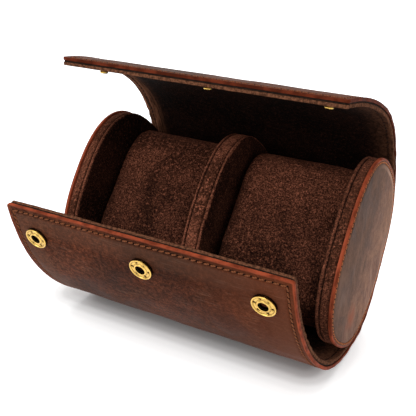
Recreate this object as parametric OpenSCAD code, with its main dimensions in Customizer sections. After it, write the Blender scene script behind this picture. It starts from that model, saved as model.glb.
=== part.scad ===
// Roll-up travel case for two watches: a leather wrap lined with suede closes
// round two oval end caps and a divider, over two loose cushions, and is held
// shut by three snaps. X runs along the roll, Y to the back, Z up. The origin
// is on the table, below the middle of the end caps.

/* [Roll] */
// Length over the two end caps
roll_l = 170; // [150:1:200]
// Height of the end caps' centre above the table
axis_h = 59; // [58:0.5:68]
// Long axis of the caps' oval
oval_long = 104.8; // [96:0.4:106]
// Short axis of the caps' oval
oval_short = 88.8; // [80:0.4:90]
// Angle of the long axis above the horizontal
oval_lean = 51.5; // [45:0.5:58]
// Squareness of the oval (2 is an ellipse)
oval_power = 2.5; // [2.2:0.1:3]

/* [Wrap] */
// How far the wrap stops short of each end of the roll
wrap_short = 1.5; // [0:0.5:9]
// Thickness of the outer leather
leather_t = 1.9; // [1.5:0.1:2.4]
// Thickness of the stiffening board
board_t = 0.8; // [0.5:0.1:1.2]
// Thickness of the suede lining
lining_t = 1.8; // [1.4:0.1:2.2]
// Room between the lining and the rims of the caps
rim_clear = 0.4; // [0.3:0.1:0.8]
// Direction in which the lining meets the caps at the lower back
back_from = -24; // [-30:1:-18]
// Direction in which the cover leaves the caps at the upper back
back_to = 10; // [5:1:15]
// How far the flat stretch reaches to the front
flat_front = 6; // [2:1:10]
// How far the flat stretch reaches to the back
flat_back = 6; // [2:1:10]
// How far the bend below the back is pulled into its corner
bend_pull = 0.62; // [0.5:0.02:0.7]

/* [Front flap] */
// Radius of the flap's lower bend
front_r1 = 74.5; // [66:0.5:84]
// Angle of the flap's lower bend
front_a1 = 38.4; // [34:0.2:42]
// Radius of the flap's middle bend
front_r2 = 117; // [105:1:130]
// Angle of the flap's middle bend
front_a2 = 34.1; // [30:0.1:38]
// Radius of the flap's upper bend
front_r3 = 176; // [150:1:200]
// Angle of the flap's upper bend
front_a3 = 6.2; // [3:0.1:9]
// Distance of the flap's first fold from the flat stretch
front_fold1 = 4; // [3:1:8]
// Distance of the flap's second fold from the flat stretch
front_fold2 = 62; // [56:1:68]
// Distance of the flap's third fold from the flat stretch
front_fold3 = 88; // [82:1:94]

/* [Cover] */
// Radius of the cover's lower bend
cover_r1 = 122.5; // [105:0.5:135]
// Angle of the cover's lower bend
cover_a1 = 16.8; // [14:0.1:20]
// Radius of the cover's middle bend
cover_r2 = 68.5; // [62:0.5:78]
// Angle of the cover's middle bend
cover_a2 = 35.6; // [31:0.1:39]
// Radius of the cover's upper bend
cover_r3 = 176.5; // [150:0.5:200]
// Angle of the cover's upper bend
cover_a3 = 19.3; // [17:0.1:22]
// Distance of the cover's first fold from the back
cover_fold1 = 12; // [8:1:16]
// Distance of the cover's second fold from the back
cover_fold2 = 62; // [56:1:68]
// Distance of the cover's third fold from the back
cover_fold3 = 108; // [102:1:114]

/* [Folds] */
// Gap between two panels at the lining
fold_gap = 0.3; // [0.2:0.1:0.6]
// Angle that each fold can open past its resting place
fold_open = 12; // [6:1:14]

/* [End caps] */
// Thickness of an end cap
cap_t = 9.8; // [8:0.1:13]
// Thickness of the cap's leather face
cap_leather_t = 2; // [1.5:0.1:2.6]
// Thickness of the cap's stiffening board
cap_board_t = 1; // [0.6:0.1:1.6]
// How far the leather face stands past the suede band
cap_lip = 0.5; // [0:0.1:1]
// Thickness of the suede on the caps, divider and cushions
suede_t = 1.2; // [0.8:0.1:1.6]

/* [Divider] */
// Thickness of the divider
divider_t = 11.6; // [9:0.1:14]
// How much smaller the divider's outline is than the caps'
divider_inset = 1.5; // [1:0.1:3]
// Direction in which the divider is set back against the lining
divider_back = -15; // [-20:1:0]

/* [Cushions] */
// Length of a cushion's section, along the slope
cushion_long = 90; // [80:1:92]
// Thickness of a cushion's section, across the slope
cushion_short = 60; // [50:1:62]
// Slope of a cushion's section above the horizontal
cushion_lean = 47; // [44:1:50]
// Squareness of a cushion's section
cushion_power = 3.4; // [2.8:0.1:4]
// Shift of the cushion along its slope, from the caps' centre
cushion_up = 0.5; // [-1:0.5:2]
// Shift of the cushion across its slope, towards the mouth
cushion_out = -7.5; // [-9:0.5:-4]
// Room at each end of a cushion
cushion_clear = 0.4; // [0.3:0.1:1.5]
// Radius of a cushion's edges
cushion_round = 5; // [2:0.5:8]

/* [Snaps] */
// Distance of the outer snaps from the middle one
snap_pitch = 66.2; // [50:0.1:70]
// Distance of the sockets from the flap's lip
socket_in = 18.5; // [14:0.5:22]
// Diameter of a socket
socket_d = 12.6; // [11:0.1:14]
// Height of a socket above the leather
socket_h = 2; // [1.6:0.1:2.6]
// Diameter of a socket's mouth
socket_bore = 5.4; // [5:0.1:6]
// Distance of the studs from the cover's lip
stud_in = 18.5; // [15:0.5:22]
// Thickness of the ring spring's wire
spring_wire = 0.7; // [0.5:0.1:0.8]
// Wall of the eyelets that hold the sockets
eyelet_t = 0.35; // [0.2:0.05:0.5]
// Diameter of a stud's head
stud_d = 4.5; // [4:0.1:4.6]
// Height of a stud above its collar
stud_h = 2.6; // [2:0.1:3]
// Diameter of a stud's collar
collar_d = 7.6; // [6.6:0.1:9]
// Height of a stud's collar above the lining
collar_h = 0.8; // [0.6:0.1:1]
// Diameter of the plates that back the snaps
plate_d = 11; // [9:0.5:13]
// Thickness of the plates that back the snaps
plate_t = 0.5; // [0.4:0.1:0.7]

/* [Hidden] */
wrap_w = roll_l - 2 * wrap_short;
wrap_t = leather_t + board_t + lining_t;
half_long = oval_long / 2;
half_short = oval_short / 2;
bay_w = (roll_l - divider_t) / 2 - cap_t;
bay_x = divider_t / 2 + bay_w / 2;
cushion_w = bay_w - 2 * cushion_clear;
front_arcs = [[front_r1, -front_a1], [front_r2, -front_a2], [front_r3, -front_a3]];
cover_arcs = [[cover_r1, cover_a1], [cover_r2, cover_a2], [cover_r3, cover_a3]];
front_len = arcs_len(front_arcs);
cover_len = arcs_len(cover_arcs);
panel_step = 3;
bend_step = 0.1;
oval_step = 5;
snap_x = [-snap_pitch, 0, snap_pitch];
post_d = 3.4;
bore_fit = 0.05;
spring_fit = 0.2;
socket_rim = 0.7;
socket_dish = 0.5;
socket_ring = 1.1;
stud_waist = 0.35;
eyelet_hole = 2;
cushion_step = 10;
edge_steps = 3;
through = 4 * wrap_t;

leather_color = [0.30, 0.16, 0.11];
board_color = [0.10, 0.07, 0.06];
suede_color = [0.22, 0.12, 0.08];
foam_color = [0.45, 0.42, 0.38];
brass_color = [0.72, 0.56, 0.28];

// ---- outlines, as [y, z] or as [y, z, heading] along the wrap ----

// A power that keeps its sign
function signed_pow(v, p) = sign(v) * pow(abs(v), p);

// Turn of the plane by an angle
function turned(p, a) = [p[0] * cos(a) - p[1] * sin(a), p[0] * sin(a) + p[1] * cos(a)];

// A point of a squared oval at parameter t, moved outwards by off
function oval_point(long, short, power, lean, t, off = 0) =
    let (p = [long * signed_pow(cos(t), 2 / power), short * signed_pow(sin(t), 2 / power)],
         n = [signed_pow(cos(t), 2 - 2 / power) / long, signed_pow(sin(t), 2 - 2 / power) / short])
    turned(p + off * n / norm(n), lean);

// The parameter at which the caps' oval faces a direction
function oval_facing(direction) =
    let (q = direction - oval_lean, e = 1 / (2 - 2 / oval_power))
    atan2(signed_pow(sin(q) * half_short, e), signed_pow(cos(q) * half_long, e));

// The caps' outline, smaller by an inset
function cap_outline(inset = 0) =
    [for (t = [0:oval_step:360 - oval_step])
        oval_point(half_long, half_short, oval_power, oval_lean, t, -inset) + [0, axis_h]];

// Length of a chain of arcs, each [radius, angle]
function arcs_len(arcs, i = 0) =
    i == len(arcs) ? 0 : arcs[i][0] * abs(arcs[i][1]) * PI / 180 + arcs_len(arcs, i + 1);

// A station moved along one arc, a positive angle turning to the left
function along_arc(s, r, a) =
    let (k = sign(a) * r)
    [s[0] + k * (sin(s[2] + a) - sin(s[2])), s[1] - k * (cos(s[2] + a) - cos(s[2])), s[2] + a];

// The station at a distance u along a chain of arcs
function walk(s, arcs, u, i = 0) =
    let (arc_len = arcs[i][0] * abs(arcs[i][1]) * PI / 180)
    u <= arc_len || i == len(arcs) - 1 ?
        along_arc(s, arcs[i][0], arcs[i][1] * u / arc_len) :
        walk(along_arc(s, arcs[i][0], arcs[i][1]), arcs, u - arc_len, i + 1);

// Stations run from the flap's lip to the cover's lip, so the inside is on the left
function front_at(u) = walk([-flat_front, 0, 180], front_arcs, u) - [0, 0, 180];

function back_at(t) =
    let (p = oval_point(half_long, half_short, oval_power, oval_lean, t, wrap_t + rim_clear),
         q = p - oval_point(half_long, half_short, oval_power, oval_lean, t))
    [p[0], p[1] + axis_h, atan2(q[1], q[0]) + 90];

t_from = oval_facing(back_from);
t_to = oval_facing(back_to);
function cover_at(u) = walk(back_at(t_to), cover_arcs, u);

// The bend from the flat stretch up to the back is one cubic curve, whose
// handles point at the corner where the two straight runs would meet
bend_to = back_at(t_from);
bend_corner = [bend_to[0] - bend_to[1] / tan(bend_to[2]), 0];
function bend_at(k) =
    let (a = [flat_back, 0],
         b = a + bend_pull * (bend_corner - a),
         d = [bend_to[0], bend_to[1]],
         c = d + bend_pull * (bend_corner - d),
         p = pow(1 - k, 3) * a + 3 * k * pow(1 - k, 2) * b + 3 * k * k * (1 - k) * c + k * k * k * d,
         v = pow(1 - k, 2) * (b - a) + 2 * k * (1 - k) * (c - b) + k * k * (d - c))
    [p[0], p[1], atan2(v[1], v[0])];

// Distances from u0 to u1 in even steps
function steps(u0, u1, step) =
    let (n = max(2, ceil(abs(u1 - u0) / step))) [for (i = [0:n]) u0 + (u1 - u0) * i / n];

// The trim of a panel's outer face at a fold
fold_trim = fold_gap / 2 + wrap_t * tan(fold_open / 2);

// A station moved straight on
function ahead(s, d) = [s[0] + d * cos(s[2]), s[1] + d * sin(s[2]), s[2]];

// A panel's stations for a layer whose outer face is at a depth, carried on at
// its folded ends to the slope that lets the fold open
function at_depth(stations, depth, folded_from = true, folded_to = true) =
    let (d = depth * tan(fold_open / 2))
    d == 0 ? stations :
        concat(folded_from ? [ahead(stations[0], -d)] : [], stations,
               folded_to ? [ahead(stations[len(stations) - 1], d)] : []);

function front_panel(u0, u1) = [for (u = steps(u1, u0, panel_step)) front_at(u)];
function cover_panel(u0, u1) = [for (u = steps(u0, u1, panel_step)) cover_at(u)];
function back_panel() = concat(
    front_panel(0, front_fold1 - fold_trim),
    [for (k = [0:bend_step:1]) bend_at(k)],
    [for (t = steps(t_from, t_to, oval_step)) if (t > t_from) back_at(t)],
    [for (u = steps(0, cover_fold1 - fold_trim, panel_step)) if (u > 0) cover_at(u)]);

// A station's point at a depth below the outer face
function below(s, depth) = [s[0] - depth * sin(s[2]), s[1] + depth * cos(s[2])];

function reversed(list) = [for (i = [len(list) - 1:-1:0]) list[i]];

// ---- building blocks ----

// Stands an outline in [y, z] up along X, from x0 to x1
module along_x(x0, x1) {
    translate([x0, 0, 0]) rotate([90, 0, 90]) linear_extrude(x1 - x0) children();
}

// One layer of the wrap between two depths
module layer(stations, depth0, depth1) {
    along_x(-wrap_w / 2, wrap_w / 2)
        polygon(concat([for (s = stations) below(s, depth0)],
                       reversed([for (s = stations) below(s, depth1)])));
}

// Puts a snap's part at a station, its axis outwards from a depth below the outer face
module at_station(s, depth) {
    p = below(s, depth);
    for (x = snap_x) translate([x, p[0], p[1]]) rotate([s[2] + 180, 0, 0]) children();
}

socket_station = front_at(front_len - socket_in);
stud_station = cover_at(cover_len - stud_in);

// Holes through the flap for the sockets' eyelets
module flap_bores() {
    at_station(socket_station, 0) cylinder(h = through, d = socket_bore, center = true, $fn = 48);
}

// Seats in the flap's lining for the eyelets' flanges
module flange_seats() {
    at_station(socket_station, wrap_t)
        cylinder(h = 2 * plate_t, d = plate_d + 2 * bore_fit, center = true, $fn = 64);
}

// Holes through one layer of the cover for the studs' posts
module cover_bores(d) {
    at_station(stud_station, 0) cylinder(h = through, d = d, center = true, $fn = 48);
}

// Flat seats in the curved leather for the posts' plates
module post_seats() {
    at_station(stud_station, leather_t) mirror([0, 0, 1])
        cylinder(h = board_t, d = plate_d + 2 * bore_fit, $fn = 64);
}

// Flat seats in the curved lining for the studs' collars
module collar_seats() {
    at_station(stud_station, wrap_t) mirror([0, 0, 1])
        cylinder(h = collar_h, d = collar_d + 2 * bore_fit, $fn = 64);
}

module oval_disc(x0, x1, inset) {
    along_x(x0, x1) polygon(cap_outline(inset));
}

module oval_ring(x0, x1, inset0, inset1) {
    along_x(x0, x1) difference() {
        polygon(cap_outline(inset0));
        polygon(cap_outline(inset1));
    }
}

// ---- the wrap ----

module leather(stations) { color(leather_color) layer(stations, 0, leather_t); }

module board(stations) { color(board_color) layer(stations, leather_t, leather_t + board_t); }

module lining(stations) { color(suede_color) layer(stations, leather_t + board_t, wrap_t); }

function wrap_back(depth) = at_depth(back_panel(), depth);
function front_lower(depth) =
    at_depth(front_panel(front_fold1 + fold_trim, front_fold2 - fold_trim), depth);
function front_middle(depth) =
    at_depth(front_panel(front_fold2 + fold_trim, front_fold3 - fold_trim), depth);
function front_lip(depth) =
    at_depth(front_panel(front_fold3 + fold_trim, front_len), depth, folded_from = false);
function cover_lower(depth) =
    at_depth(cover_panel(cover_fold1 + fold_trim, cover_fold2 - fold_trim), depth);
function cover_middle(depth) =
    at_depth(cover_panel(cover_fold2 + fold_trim, cover_fold3 - fold_trim), depth);
function cover_lip(depth) =
    at_depth(cover_panel(cover_fold3 + fold_trim, cover_len), depth, folded_to = false);

module leather_back() leather(wrap_back(0));
module board_back() board(wrap_back(leather_t));
module lining_back() lining(wrap_back(leather_t + board_t));

module leather_front_lower() leather(front_lower(0));
module leather_front_middle() leather(front_middle(0));
module leather_front_lip() difference() { leather(front_lip(0)); flap_bores(); }
module leather_cover_lower() leather(cover_lower(0));
module leather_cover_middle() leather(cover_middle(0));
module leather_cover_lip() difference() { leather(cover_lip(0)); post_seats(); }

module board_front_lower() board(front_lower(leather_t));
module board_front_middle() board(front_middle(leather_t));
module board_front_lip() difference() { board(front_lip(leather_t)); flap_bores(); }
module board_cover_lower() board(cover_lower(leather_t));
module board_cover_middle() board(cover_middle(leather_t));
module board_cover_lip() difference() {
    board(cover_lip(leather_t));
    cover_bores(plate_d + 2 * bore_fit);
}

module lining_front_lower() lining(front_lower(leather_t + board_t));
module lining_front_middle() lining(front_middle(leather_t + board_t));
module lining_front_lip() difference() {
    lining(front_lip(leather_t + board_t));
    flap_bores();
    flange_seats();
}
module lining_cover_lower() lining(cover_lower(leather_t + board_t));
module lining_cover_middle() lining(cover_middle(leather_t + board_t));
module lining_cover_lip() difference() {
    lining(cover_lip(leather_t + board_t));
    cover_bores(post_d + 2 * bore_fit);
    collar_seats();
}

// ---- the end caps, built for the right end and mirrored for the left ----

cap_out = roll_l / 2;
cap_in = cap_out - cap_t;
band_out = cap_out - cap_leather_t;

module cap_leather() { color(leather_color) oval_disc(band_out, cap_out, 0); }

module cap_board() {
    color(board_color) oval_disc(band_out - cap_board_t, band_out, cap_lip + suede_t);
}

module cap_band() { color(suede_color) oval_ring(cap_in, band_out, cap_lip, cap_lip + suede_t); }

module cap_foam() {
    color(foam_color) oval_disc(cap_in + suede_t, band_out - cap_board_t, cap_lip + suede_t);
}

module cap_suede() { color(suede_color) oval_disc(cap_in, cap_in + suede_t, cap_lip + suede_t); }

module cap_leather_right() cap_leather();
module cap_leather_left() mirror([1, 0, 0]) cap_leather();
module cap_board_right() cap_board();
module cap_board_left() mirror([1, 0, 0]) cap_board();
module cap_band_right() cap_band();
module cap_band_left() mirror([1, 0, 0]) cap_band();
module cap_foam_right() cap_foam();
module cap_foam_left() mirror([1, 0, 0]) cap_foam();
module cap_suede_right() cap_suede();
module cap_suede_left() mirror([1, 0, 0]) cap_suede();

// ---- the divider ----

// Sets the divider's outline back until its rim meets the lining
module set_back() {
    translate([0, divider_inset * cos(divider_back), divider_inset * sin(divider_back)]) children();
}

module divider_band() {
    color(suede_color) set_back()
        oval_ring(-divider_t / 2, divider_t / 2, divider_inset, divider_inset + suede_t);
}

module divider_foam() {
    color(foam_color) set_back()
        oval_disc(suede_t - divider_t / 2, divider_t / 2 - suede_t, divider_inset + suede_t);
}

module divider_suede() {
    color(suede_color) set_back()
        oval_disc(divider_t / 2 - suede_t, divider_t / 2, divider_inset + suede_t);
}

module divider_suede_right() divider_suede();
module divider_suede_left() mirror([1, 0, 0]) divider_suede();

// ---- the cushions ----

function cushion_outline(inset) =
    [for (t = [0:cushion_step:360 - cushion_step])
        oval_point(cushion_long / 2, cushion_short / 2, cushion_power, cushion_lean, t, -inset)
            + turned([cushion_up, cushion_out], cushion_lean) + [0, axis_h]];

// A cushion's block, its edges stepped in along a quarter circle
module cushion_block(inset) {
    half = cushion_w / 2 - inset;
    r = cushion_round - inset;
    for (i = [0:edge_steps]) {
        a = 90 * i / edge_steps;
        x = half - r + r * sin(a);
        along_x(bay_x - x, bay_x + x) polygon(cushion_outline(inset + r * (1 - cos(a))));
    }
}

module cushion_cover() {
    color(suede_color) difference() { cushion_block(0); cushion_block(suede_t); }
}

module cushion_foam() { color(foam_color) cushion_block(suede_t); }

module cushion_cover_right() cushion_cover();
module cushion_cover_left() mirror([1, 0, 0]) cushion_cover();
module cushion_foam_right() cushion_foam();
module cushion_foam_left() mirror([1, 0, 0]) cushion_foam();

// ---- the snaps ----

// Female part on the flap's leather: a dished disc with a ring round its mouth
// and a groove inside the mouth for the spring
module snap_sockets() {
    mouth = socket_bore / 2;
    outer = socket_d / 2;
    floor_z = socket_h - socket_dish;
    groove = stud_d / 2 + spring_fit + spring_wire + spring_fit;
    color(brass_color) at_station(socket_station, 0) rotate_extrude($fn = 64)
        polygon([[mouth, 0], [outer, 0], [outer, socket_h - socket_rim / 2],
                 [outer - socket_rim / 2, socket_h], [outer - socket_rim, socket_h],
                 [outer - socket_rim - socket_dish, floor_z],
                 [mouth + socket_ring, floor_z], [mouth + socket_ring / 2, socket_h],
                 [mouth, socket_h], [mouth, spring_z + spring_wire],
                 [groove, spring_z + spring_wire], [groove, spring_z - spring_wire],
                 [mouth, spring_z - spring_wire]]);
}

// Height of the ring spring above the leather, at the middle of the sockets
spring_z = socket_h / 2 - socket_dish / 4;

module snap_springs() {
    color(brass_color) at_station(socket_station, 0) translate([0, 0, spring_z])
        rotate_extrude($fn = 48)
            translate([stud_d / 2 + spring_fit + spring_wire / 2, 0])
                circle(d = spring_wire, $fn = 24);
}

// Tube through the flap, with a flange sunk in the lining
module snap_eyelets() {
    tube = socket_bore / 2 - bore_fit;
    color(brass_color) at_station(socket_station, wrap_t) rotate_extrude($fn = 64)
        polygon([[eyelet_hole / 2, 0], [plate_d / 2, 0], [plate_d / 2, plate_t], [tube, plate_t],
                 [tube, wrap_t], [tube - eyelet_t, wrap_t], [tube - eyelet_t, plate_t],
                 [eyelet_hole / 2, plate_t]]);
}

// Male part on the cover's lining: a collar and a waisted head
module snap_studs() {
    head = stud_d / 2;
    waist = head - stud_waist;
    collar = collar_d / 2;
    color(brass_color) at_station(stud_station, wrap_t) mirror([0, 0, 1])
        rotate_extrude($fn = 48)
            polygon([[0, 0], [collar, 0], [collar, collar_h / 2],
                     [collar - collar_h / 2, collar_h], [waist, collar_h],
                     [waist, collar_h + stud_h / 3], [head, collar_h + stud_h * 2 / 3],
                     [waist, collar_h + stud_h], [0, collar_h + stud_h]]);
}

// Post set blind under the cover's leather, with its plate in the board
module snap_posts() {
    color(brass_color) at_station(stud_station, leather_t) mirror([0, 0, 1]) {
        cylinder(h = board_t, d = plate_d, $fn = 64);
        cylinder(h = board_t + lining_t, d = post_d, $fn = 48);
    }
}

leather_back();
leather_front_lower();
leather_front_middle();
leather_front_lip();
leather_cover_lower();
leather_cover_middle();
leather_cover_lip();
board_back();
board_front_lower();
board_front_middle();
board_front_lip();
board_cover_lower();
board_cover_middle();
board_cover_lip();
lining_back();
lining_front_lower();
lining_front_middle();
lining_front_lip();
lining_cover_lower();
lining_cover_middle();
lining_cover_lip();
cap_leather_left();
cap_leather_right();
cap_board_left();
cap_board_right();
cap_band_left();
cap_band_right();
cap_foam_left();
cap_foam_right();
cap_suede_left();
cap_suede_right();
divider_band();
divider_foam();
divider_suede_left();
divider_suede_right();
cushion_cover_left();
cushion_cover_right();
cushion_foam_left();
cushion_foam_right();
snap_sockets();
snap_springs();
snap_eyelets();
snap_studs();
snap_posts();
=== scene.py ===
"""Leather, suede, thread and brass of a travel roll for two watches, dressed on
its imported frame. X runs along the roll, Y to the back, Z up. Shapes are worked
out in millimetres and written to the meshes in metres."""

import math

import bmesh
import bpy
import numpy as np
from bpy.props import FloatProperty, FloatVectorProperty, IntProperty, PointerProperty
from mathutils import Matrix, Vector


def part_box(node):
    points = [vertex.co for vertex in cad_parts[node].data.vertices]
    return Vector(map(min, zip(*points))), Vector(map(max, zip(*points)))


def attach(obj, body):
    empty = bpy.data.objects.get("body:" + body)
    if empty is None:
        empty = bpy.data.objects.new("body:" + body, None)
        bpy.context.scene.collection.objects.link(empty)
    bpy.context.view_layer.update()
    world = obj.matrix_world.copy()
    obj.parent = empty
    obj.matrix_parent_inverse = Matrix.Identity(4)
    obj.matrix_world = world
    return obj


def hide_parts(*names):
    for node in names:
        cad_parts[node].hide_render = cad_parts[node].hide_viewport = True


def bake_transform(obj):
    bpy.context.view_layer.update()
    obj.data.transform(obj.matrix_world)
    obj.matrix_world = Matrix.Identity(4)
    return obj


bl_info = {
    "name": "Watch Travel Roll",
    "version": (1, 0, 0),
    "blender": (4, 5, 0),
    "location": "View3D > Sidebar > Watch Roll",
    "description": "Builds the leather, suede and brass of a travel roll for two watches",
    "category": "Add Mesh",
}

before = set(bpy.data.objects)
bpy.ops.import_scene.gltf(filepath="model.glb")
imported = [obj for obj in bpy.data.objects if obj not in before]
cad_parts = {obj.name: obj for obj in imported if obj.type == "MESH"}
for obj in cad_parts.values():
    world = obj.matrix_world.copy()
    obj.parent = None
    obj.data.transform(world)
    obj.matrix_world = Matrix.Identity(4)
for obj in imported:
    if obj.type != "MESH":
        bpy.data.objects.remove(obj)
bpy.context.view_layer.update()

MM = 0.001
SIDES = {"left": -1.0, "right": 1.0}

# ---- the roll's sizes in mm, as in the part's source ----

# the height of the caps' axis, and their oval as length, breadth, lean in degrees
# and power
AXIS_H = 59.0
OVAL_LONG, OVAL_SHORT, OVAL_LEAN, OVAL_POWER = 104.8, 88.8, 51.5, 2.5
# the wrap's layers from the outside in, its width, and its clearance from the caps
LEATHER_T, BOARD_T, LINING_T = 1.9, 0.8, 1.8
WRAP_T = LEATHER_T + BOARD_T + LINING_T
WRAP_W = (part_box("lining_back")[1].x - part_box("lining_back")[0].x) / MM
RIM_CLEAR = 0.4
# the wrap's path: the directions in degrees between which its back follows the
# caps, its flat stretch before and behind the middle, how far the bend reaches
# towards its corner, the arcs of flap and cover as radius and degrees, and the
# folds as distances along those arcs
BACK_FROM, BACK_TO = -24.0, 10.0
FLAT_FRONT, FLAT_BACK, BEND_PULL = 6.0, 6.0, 0.62
FRONT_ARCS = ((74.5, -38.4), (117.0, -34.1), (176.0, -6.2))
COVER_ARCS = ((122.5, 16.8), (68.5, 35.6), (176.5, 19.3))
FRONT_FOLDS = (4.0, 62.0, 88.0)
COVER_FOLDS = (12.0, 62.0, 108.0)
# the caps between their outer and inner faces, and how far the leather stands
# past the suede
CAP_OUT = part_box("cap_leather_right")[1].x / MM
CAP_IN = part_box("cap_suede_right")[0].x / MM
CAP_LEATHER_T, CAP_LIP = 2.0, 0.5
# the divider: its oval is the caps' less an inset, set over in a direction in degrees
DIVIDER_T = 2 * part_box("divider_suede_right")[1].x / MM
DIVIDER_INSET, DIVIDER_BACK = 1.5, -15.0
# the cushions' section, and its middle's place along and across its own length
CUSHION_LONG, CUSHION_SHORT, CUSHION_LEAN, CUSHION_POWER = 90.0, 60.0, 47.0, 3.4
CUSHION_UP, CUSHION_OUT = 0.5, -7.5
# the snaps: places along X, distances from the lips, diameters and heights
SNAP_X = (-66.2, 0.0, 66.2)
SOCKET_IN, SOCKET_D, SOCKET_H, SOCKET_BORE = 18.5, 12.6, 2.0, 5.4
STUD_IN, STUD_D, STUD_H, COLLAR_D, COLLAR_H = 18.5, 4.5, 2.6, 7.6, 0.8


# ---- outlines ----

OVAL_STEPS, ARC_STEPS, BACK_STEPS, BEND_STEPS = 2881, 700, 240, 160
WAVES = 8


def signed_pow(v, p):
    """The power of v's size, with v's sign."""
    return np.sign(v) * np.abs(v) ** p


def squared_oval(t, long, short, lean, power, inset=0.0):
    """Point y, z at angle t of an oval |y/a|^p + |z/b|^p = 1, moved inwards along
    its normal by inset and turned by lean degrees."""
    a, b = long / 2, short / 2
    c, s = np.cos(t), np.sin(t)
    y, z = a * signed_pow(c, 2 / power), b * signed_pow(s, 2 / power)
    ny, nz = signed_pow(c, 2 - 2 / power) / a, signed_pow(s, 2 - 2 / power) / b
    n = np.hypot(ny, nz)
    y, z = y - inset * ny / n, z - inset * nz / n
    turn = math.radians(lean)
    return (
        y * math.cos(turn) - z * math.sin(turn),
        y * math.sin(turn) + z * math.cos(turn),
    )


def even_oval(count, inset=0.0, long=OVAL_LONG, short=OVAL_SHORT, lean=OVAL_LEAN,
              power=OVAL_POWER):
    """A squared oval's outline at count even steps of length, as y and z arrays."""
    t = np.linspace(0, 2 * math.pi, OVAL_STEPS)
    y, z = squared_oval(t, long, short, lean, power, inset)
    s = np.concatenate([[0], np.cumsum(np.hypot(np.diff(y), np.diff(z)))])
    at = np.linspace(0, s[-1], count, endpoint=False)
    return np.interp(at, s, y), np.interp(at, s, z)


def chain(start, arcs, u):
    """Stations y, z, heading at distances u along arcs that follow on from start:
    each arc moves a point by its radius times the change of the heading's sine
    and cosine."""
    y, z, heading = (np.full(u.shape, float(v)) for v in start)
    left = u.astype(float)
    for radius, angle in arcs:
        length = radius * abs(math.radians(angle))
        turn = np.clip(left, 0, length) / length * math.radians(angle)
        k = math.copysign(radius, angle)
        y = y + k * (np.sin(heading + turn) - np.sin(heading))
        z = z - k * (np.cos(heading + turn) - np.cos(heading))
        heading = heading + turn
        left = left - length
    return y, z, heading


def arcs_length(arcs):
    """The length of arcs given as radius and angle in degrees."""
    return sum(radius * abs(math.radians(angle)) for radius, angle in arcs)


def oval_facing(direction):
    """The angle at which the caps' oval faces a direction in degrees."""
    q = math.radians(direction - OVAL_LEAN)
    e = 1 / (2 - 2 / OVAL_POWER)
    return math.atan2(
        float(signed_pow(np.float64(math.sin(q) * OVAL_SHORT / 2), e)),
        float(signed_pow(np.float64(math.cos(q) * OVAL_LONG / 2), e)),
    )


def wrap_path():
    """The wrap's outer face as arrays of distance, y, z and heading, from the
    flap's lip, round the bottom and the back, to the cover's lip. The flap and
    the cover are arcs, the back is the caps' oval moved outwards, and the bend
    below it is a cubic curve (1-k)^3 a + 3k(1-k)^2 b + 3k^2(1-k) c + k^3 d whose
    inner points b and c lie towards the corner of its end tangents."""
    front_len, cover_len = arcs_length(FRONT_ARCS), arcs_length(COVER_ARCS)
    fy, fz, fh = chain(
        (-FLAT_FRONT, 0, math.pi), FRONT_ARCS, np.linspace(front_len, 0, ARC_STEPS)
    )
    t = np.linspace(oval_facing(BACK_FROM), oval_facing(BACK_TO), BACK_STEPS)
    by, bz = squared_oval(t, OVAL_LONG, OVAL_SHORT, OVAL_LEAN, OVAL_POWER,
                          -(WRAP_T + RIM_CLEAR))
    bz = bz + AXIS_H
    bh = np.arctan2(np.gradient(bz, t), np.gradient(by, t))
    k = np.linspace(0, 1, BEND_STEPS)
    corner = by[0] - bz[0] / math.tan(bh[0])
    a, d = np.array([FLAT_BACK, 0.0]), np.array([by[0], bz[0]])
    b = a + BEND_PULL * (np.array([corner, 0.0]) - a)
    c = d + BEND_PULL * (np.array([corner, 0.0]) - d)
    bend = (
        np.outer((1 - k) ** 3, a) + np.outer(3 * k * (1 - k) ** 2, b)
        + np.outer(3 * k * k * (1 - k), c) + np.outer(k**3, d)
    )
    slope = (
        np.outer((1 - k) ** 2, b - a) + np.outer(2 * k * (1 - k), c - b)
        + np.outer(k * k, d - c)
    )
    cy, cz, ch = chain(
        (by[-1], bz[-1], bh[-1]), COVER_ARCS, np.linspace(0, cover_len, ARC_STEPS)
    )
    y = np.concatenate([fy, bend[:, 0], by[1:], cy[1:]])
    z = np.concatenate([fz, bend[:, 1], bz[1:], cz[1:]])
    h = np.concatenate(
        [fh - math.pi, np.arctan2(slope[:, 1], slope[:, 0]), bh[1:], ch[1:]]
    )
    s = np.concatenate([[0], np.cumsum(np.hypot(np.diff(y), np.diff(z)))])
    return s, y, z, np.unwrap(h), front_len, s[-1] - cover_len


PATH_S, PATH_Y, PATH_Z, PATH_H, FRONT_LEN, COVER_FROM = wrap_path()
WRAP_LEN = PATH_S[-1]
FOLDS = [FRONT_LEN - u for u in reversed(FRONT_FOLDS)] + [COVER_FROM + u for u in COVER_FOLDS]


def on_wrap(x, s, depth):
    """Points at distances s along the wrap, x across it and a depth below its
    outer face, stacked as x, y, z in mm."""
    heading = np.interp(s, PATH_S, PATH_H)
    y = np.interp(s, PATH_S, PATH_Y) - depth * np.sin(heading)
    z = np.interp(s, PATH_S, PATH_Z) + depth * np.cos(heading)
    return np.stack(np.broadcast_arrays(x, y, z), axis=-1)


def ripple(u, v, seed, wave):
    """A smooth random height in about -1 to 1: a sum of sine waves of directions,
    phases and lengths near wave, all drawn from the seed."""
    draw = np.random.default_rng(seed)
    angle = draw.uniform(0, math.pi, WAVES)
    phase = draw.uniform(0, 2 * math.pi, WAVES)
    length = wave * draw.uniform(0.7, 1.6, WAVES)
    total = np.zeros(np.broadcast(u, v).shape)
    for a, p, w in zip(angle, phase, length):
        total += np.sin(2 * math.pi * (u * math.cos(a) + v * math.sin(a)) / w + p)
    return total / (WAVES / 2)


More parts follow.
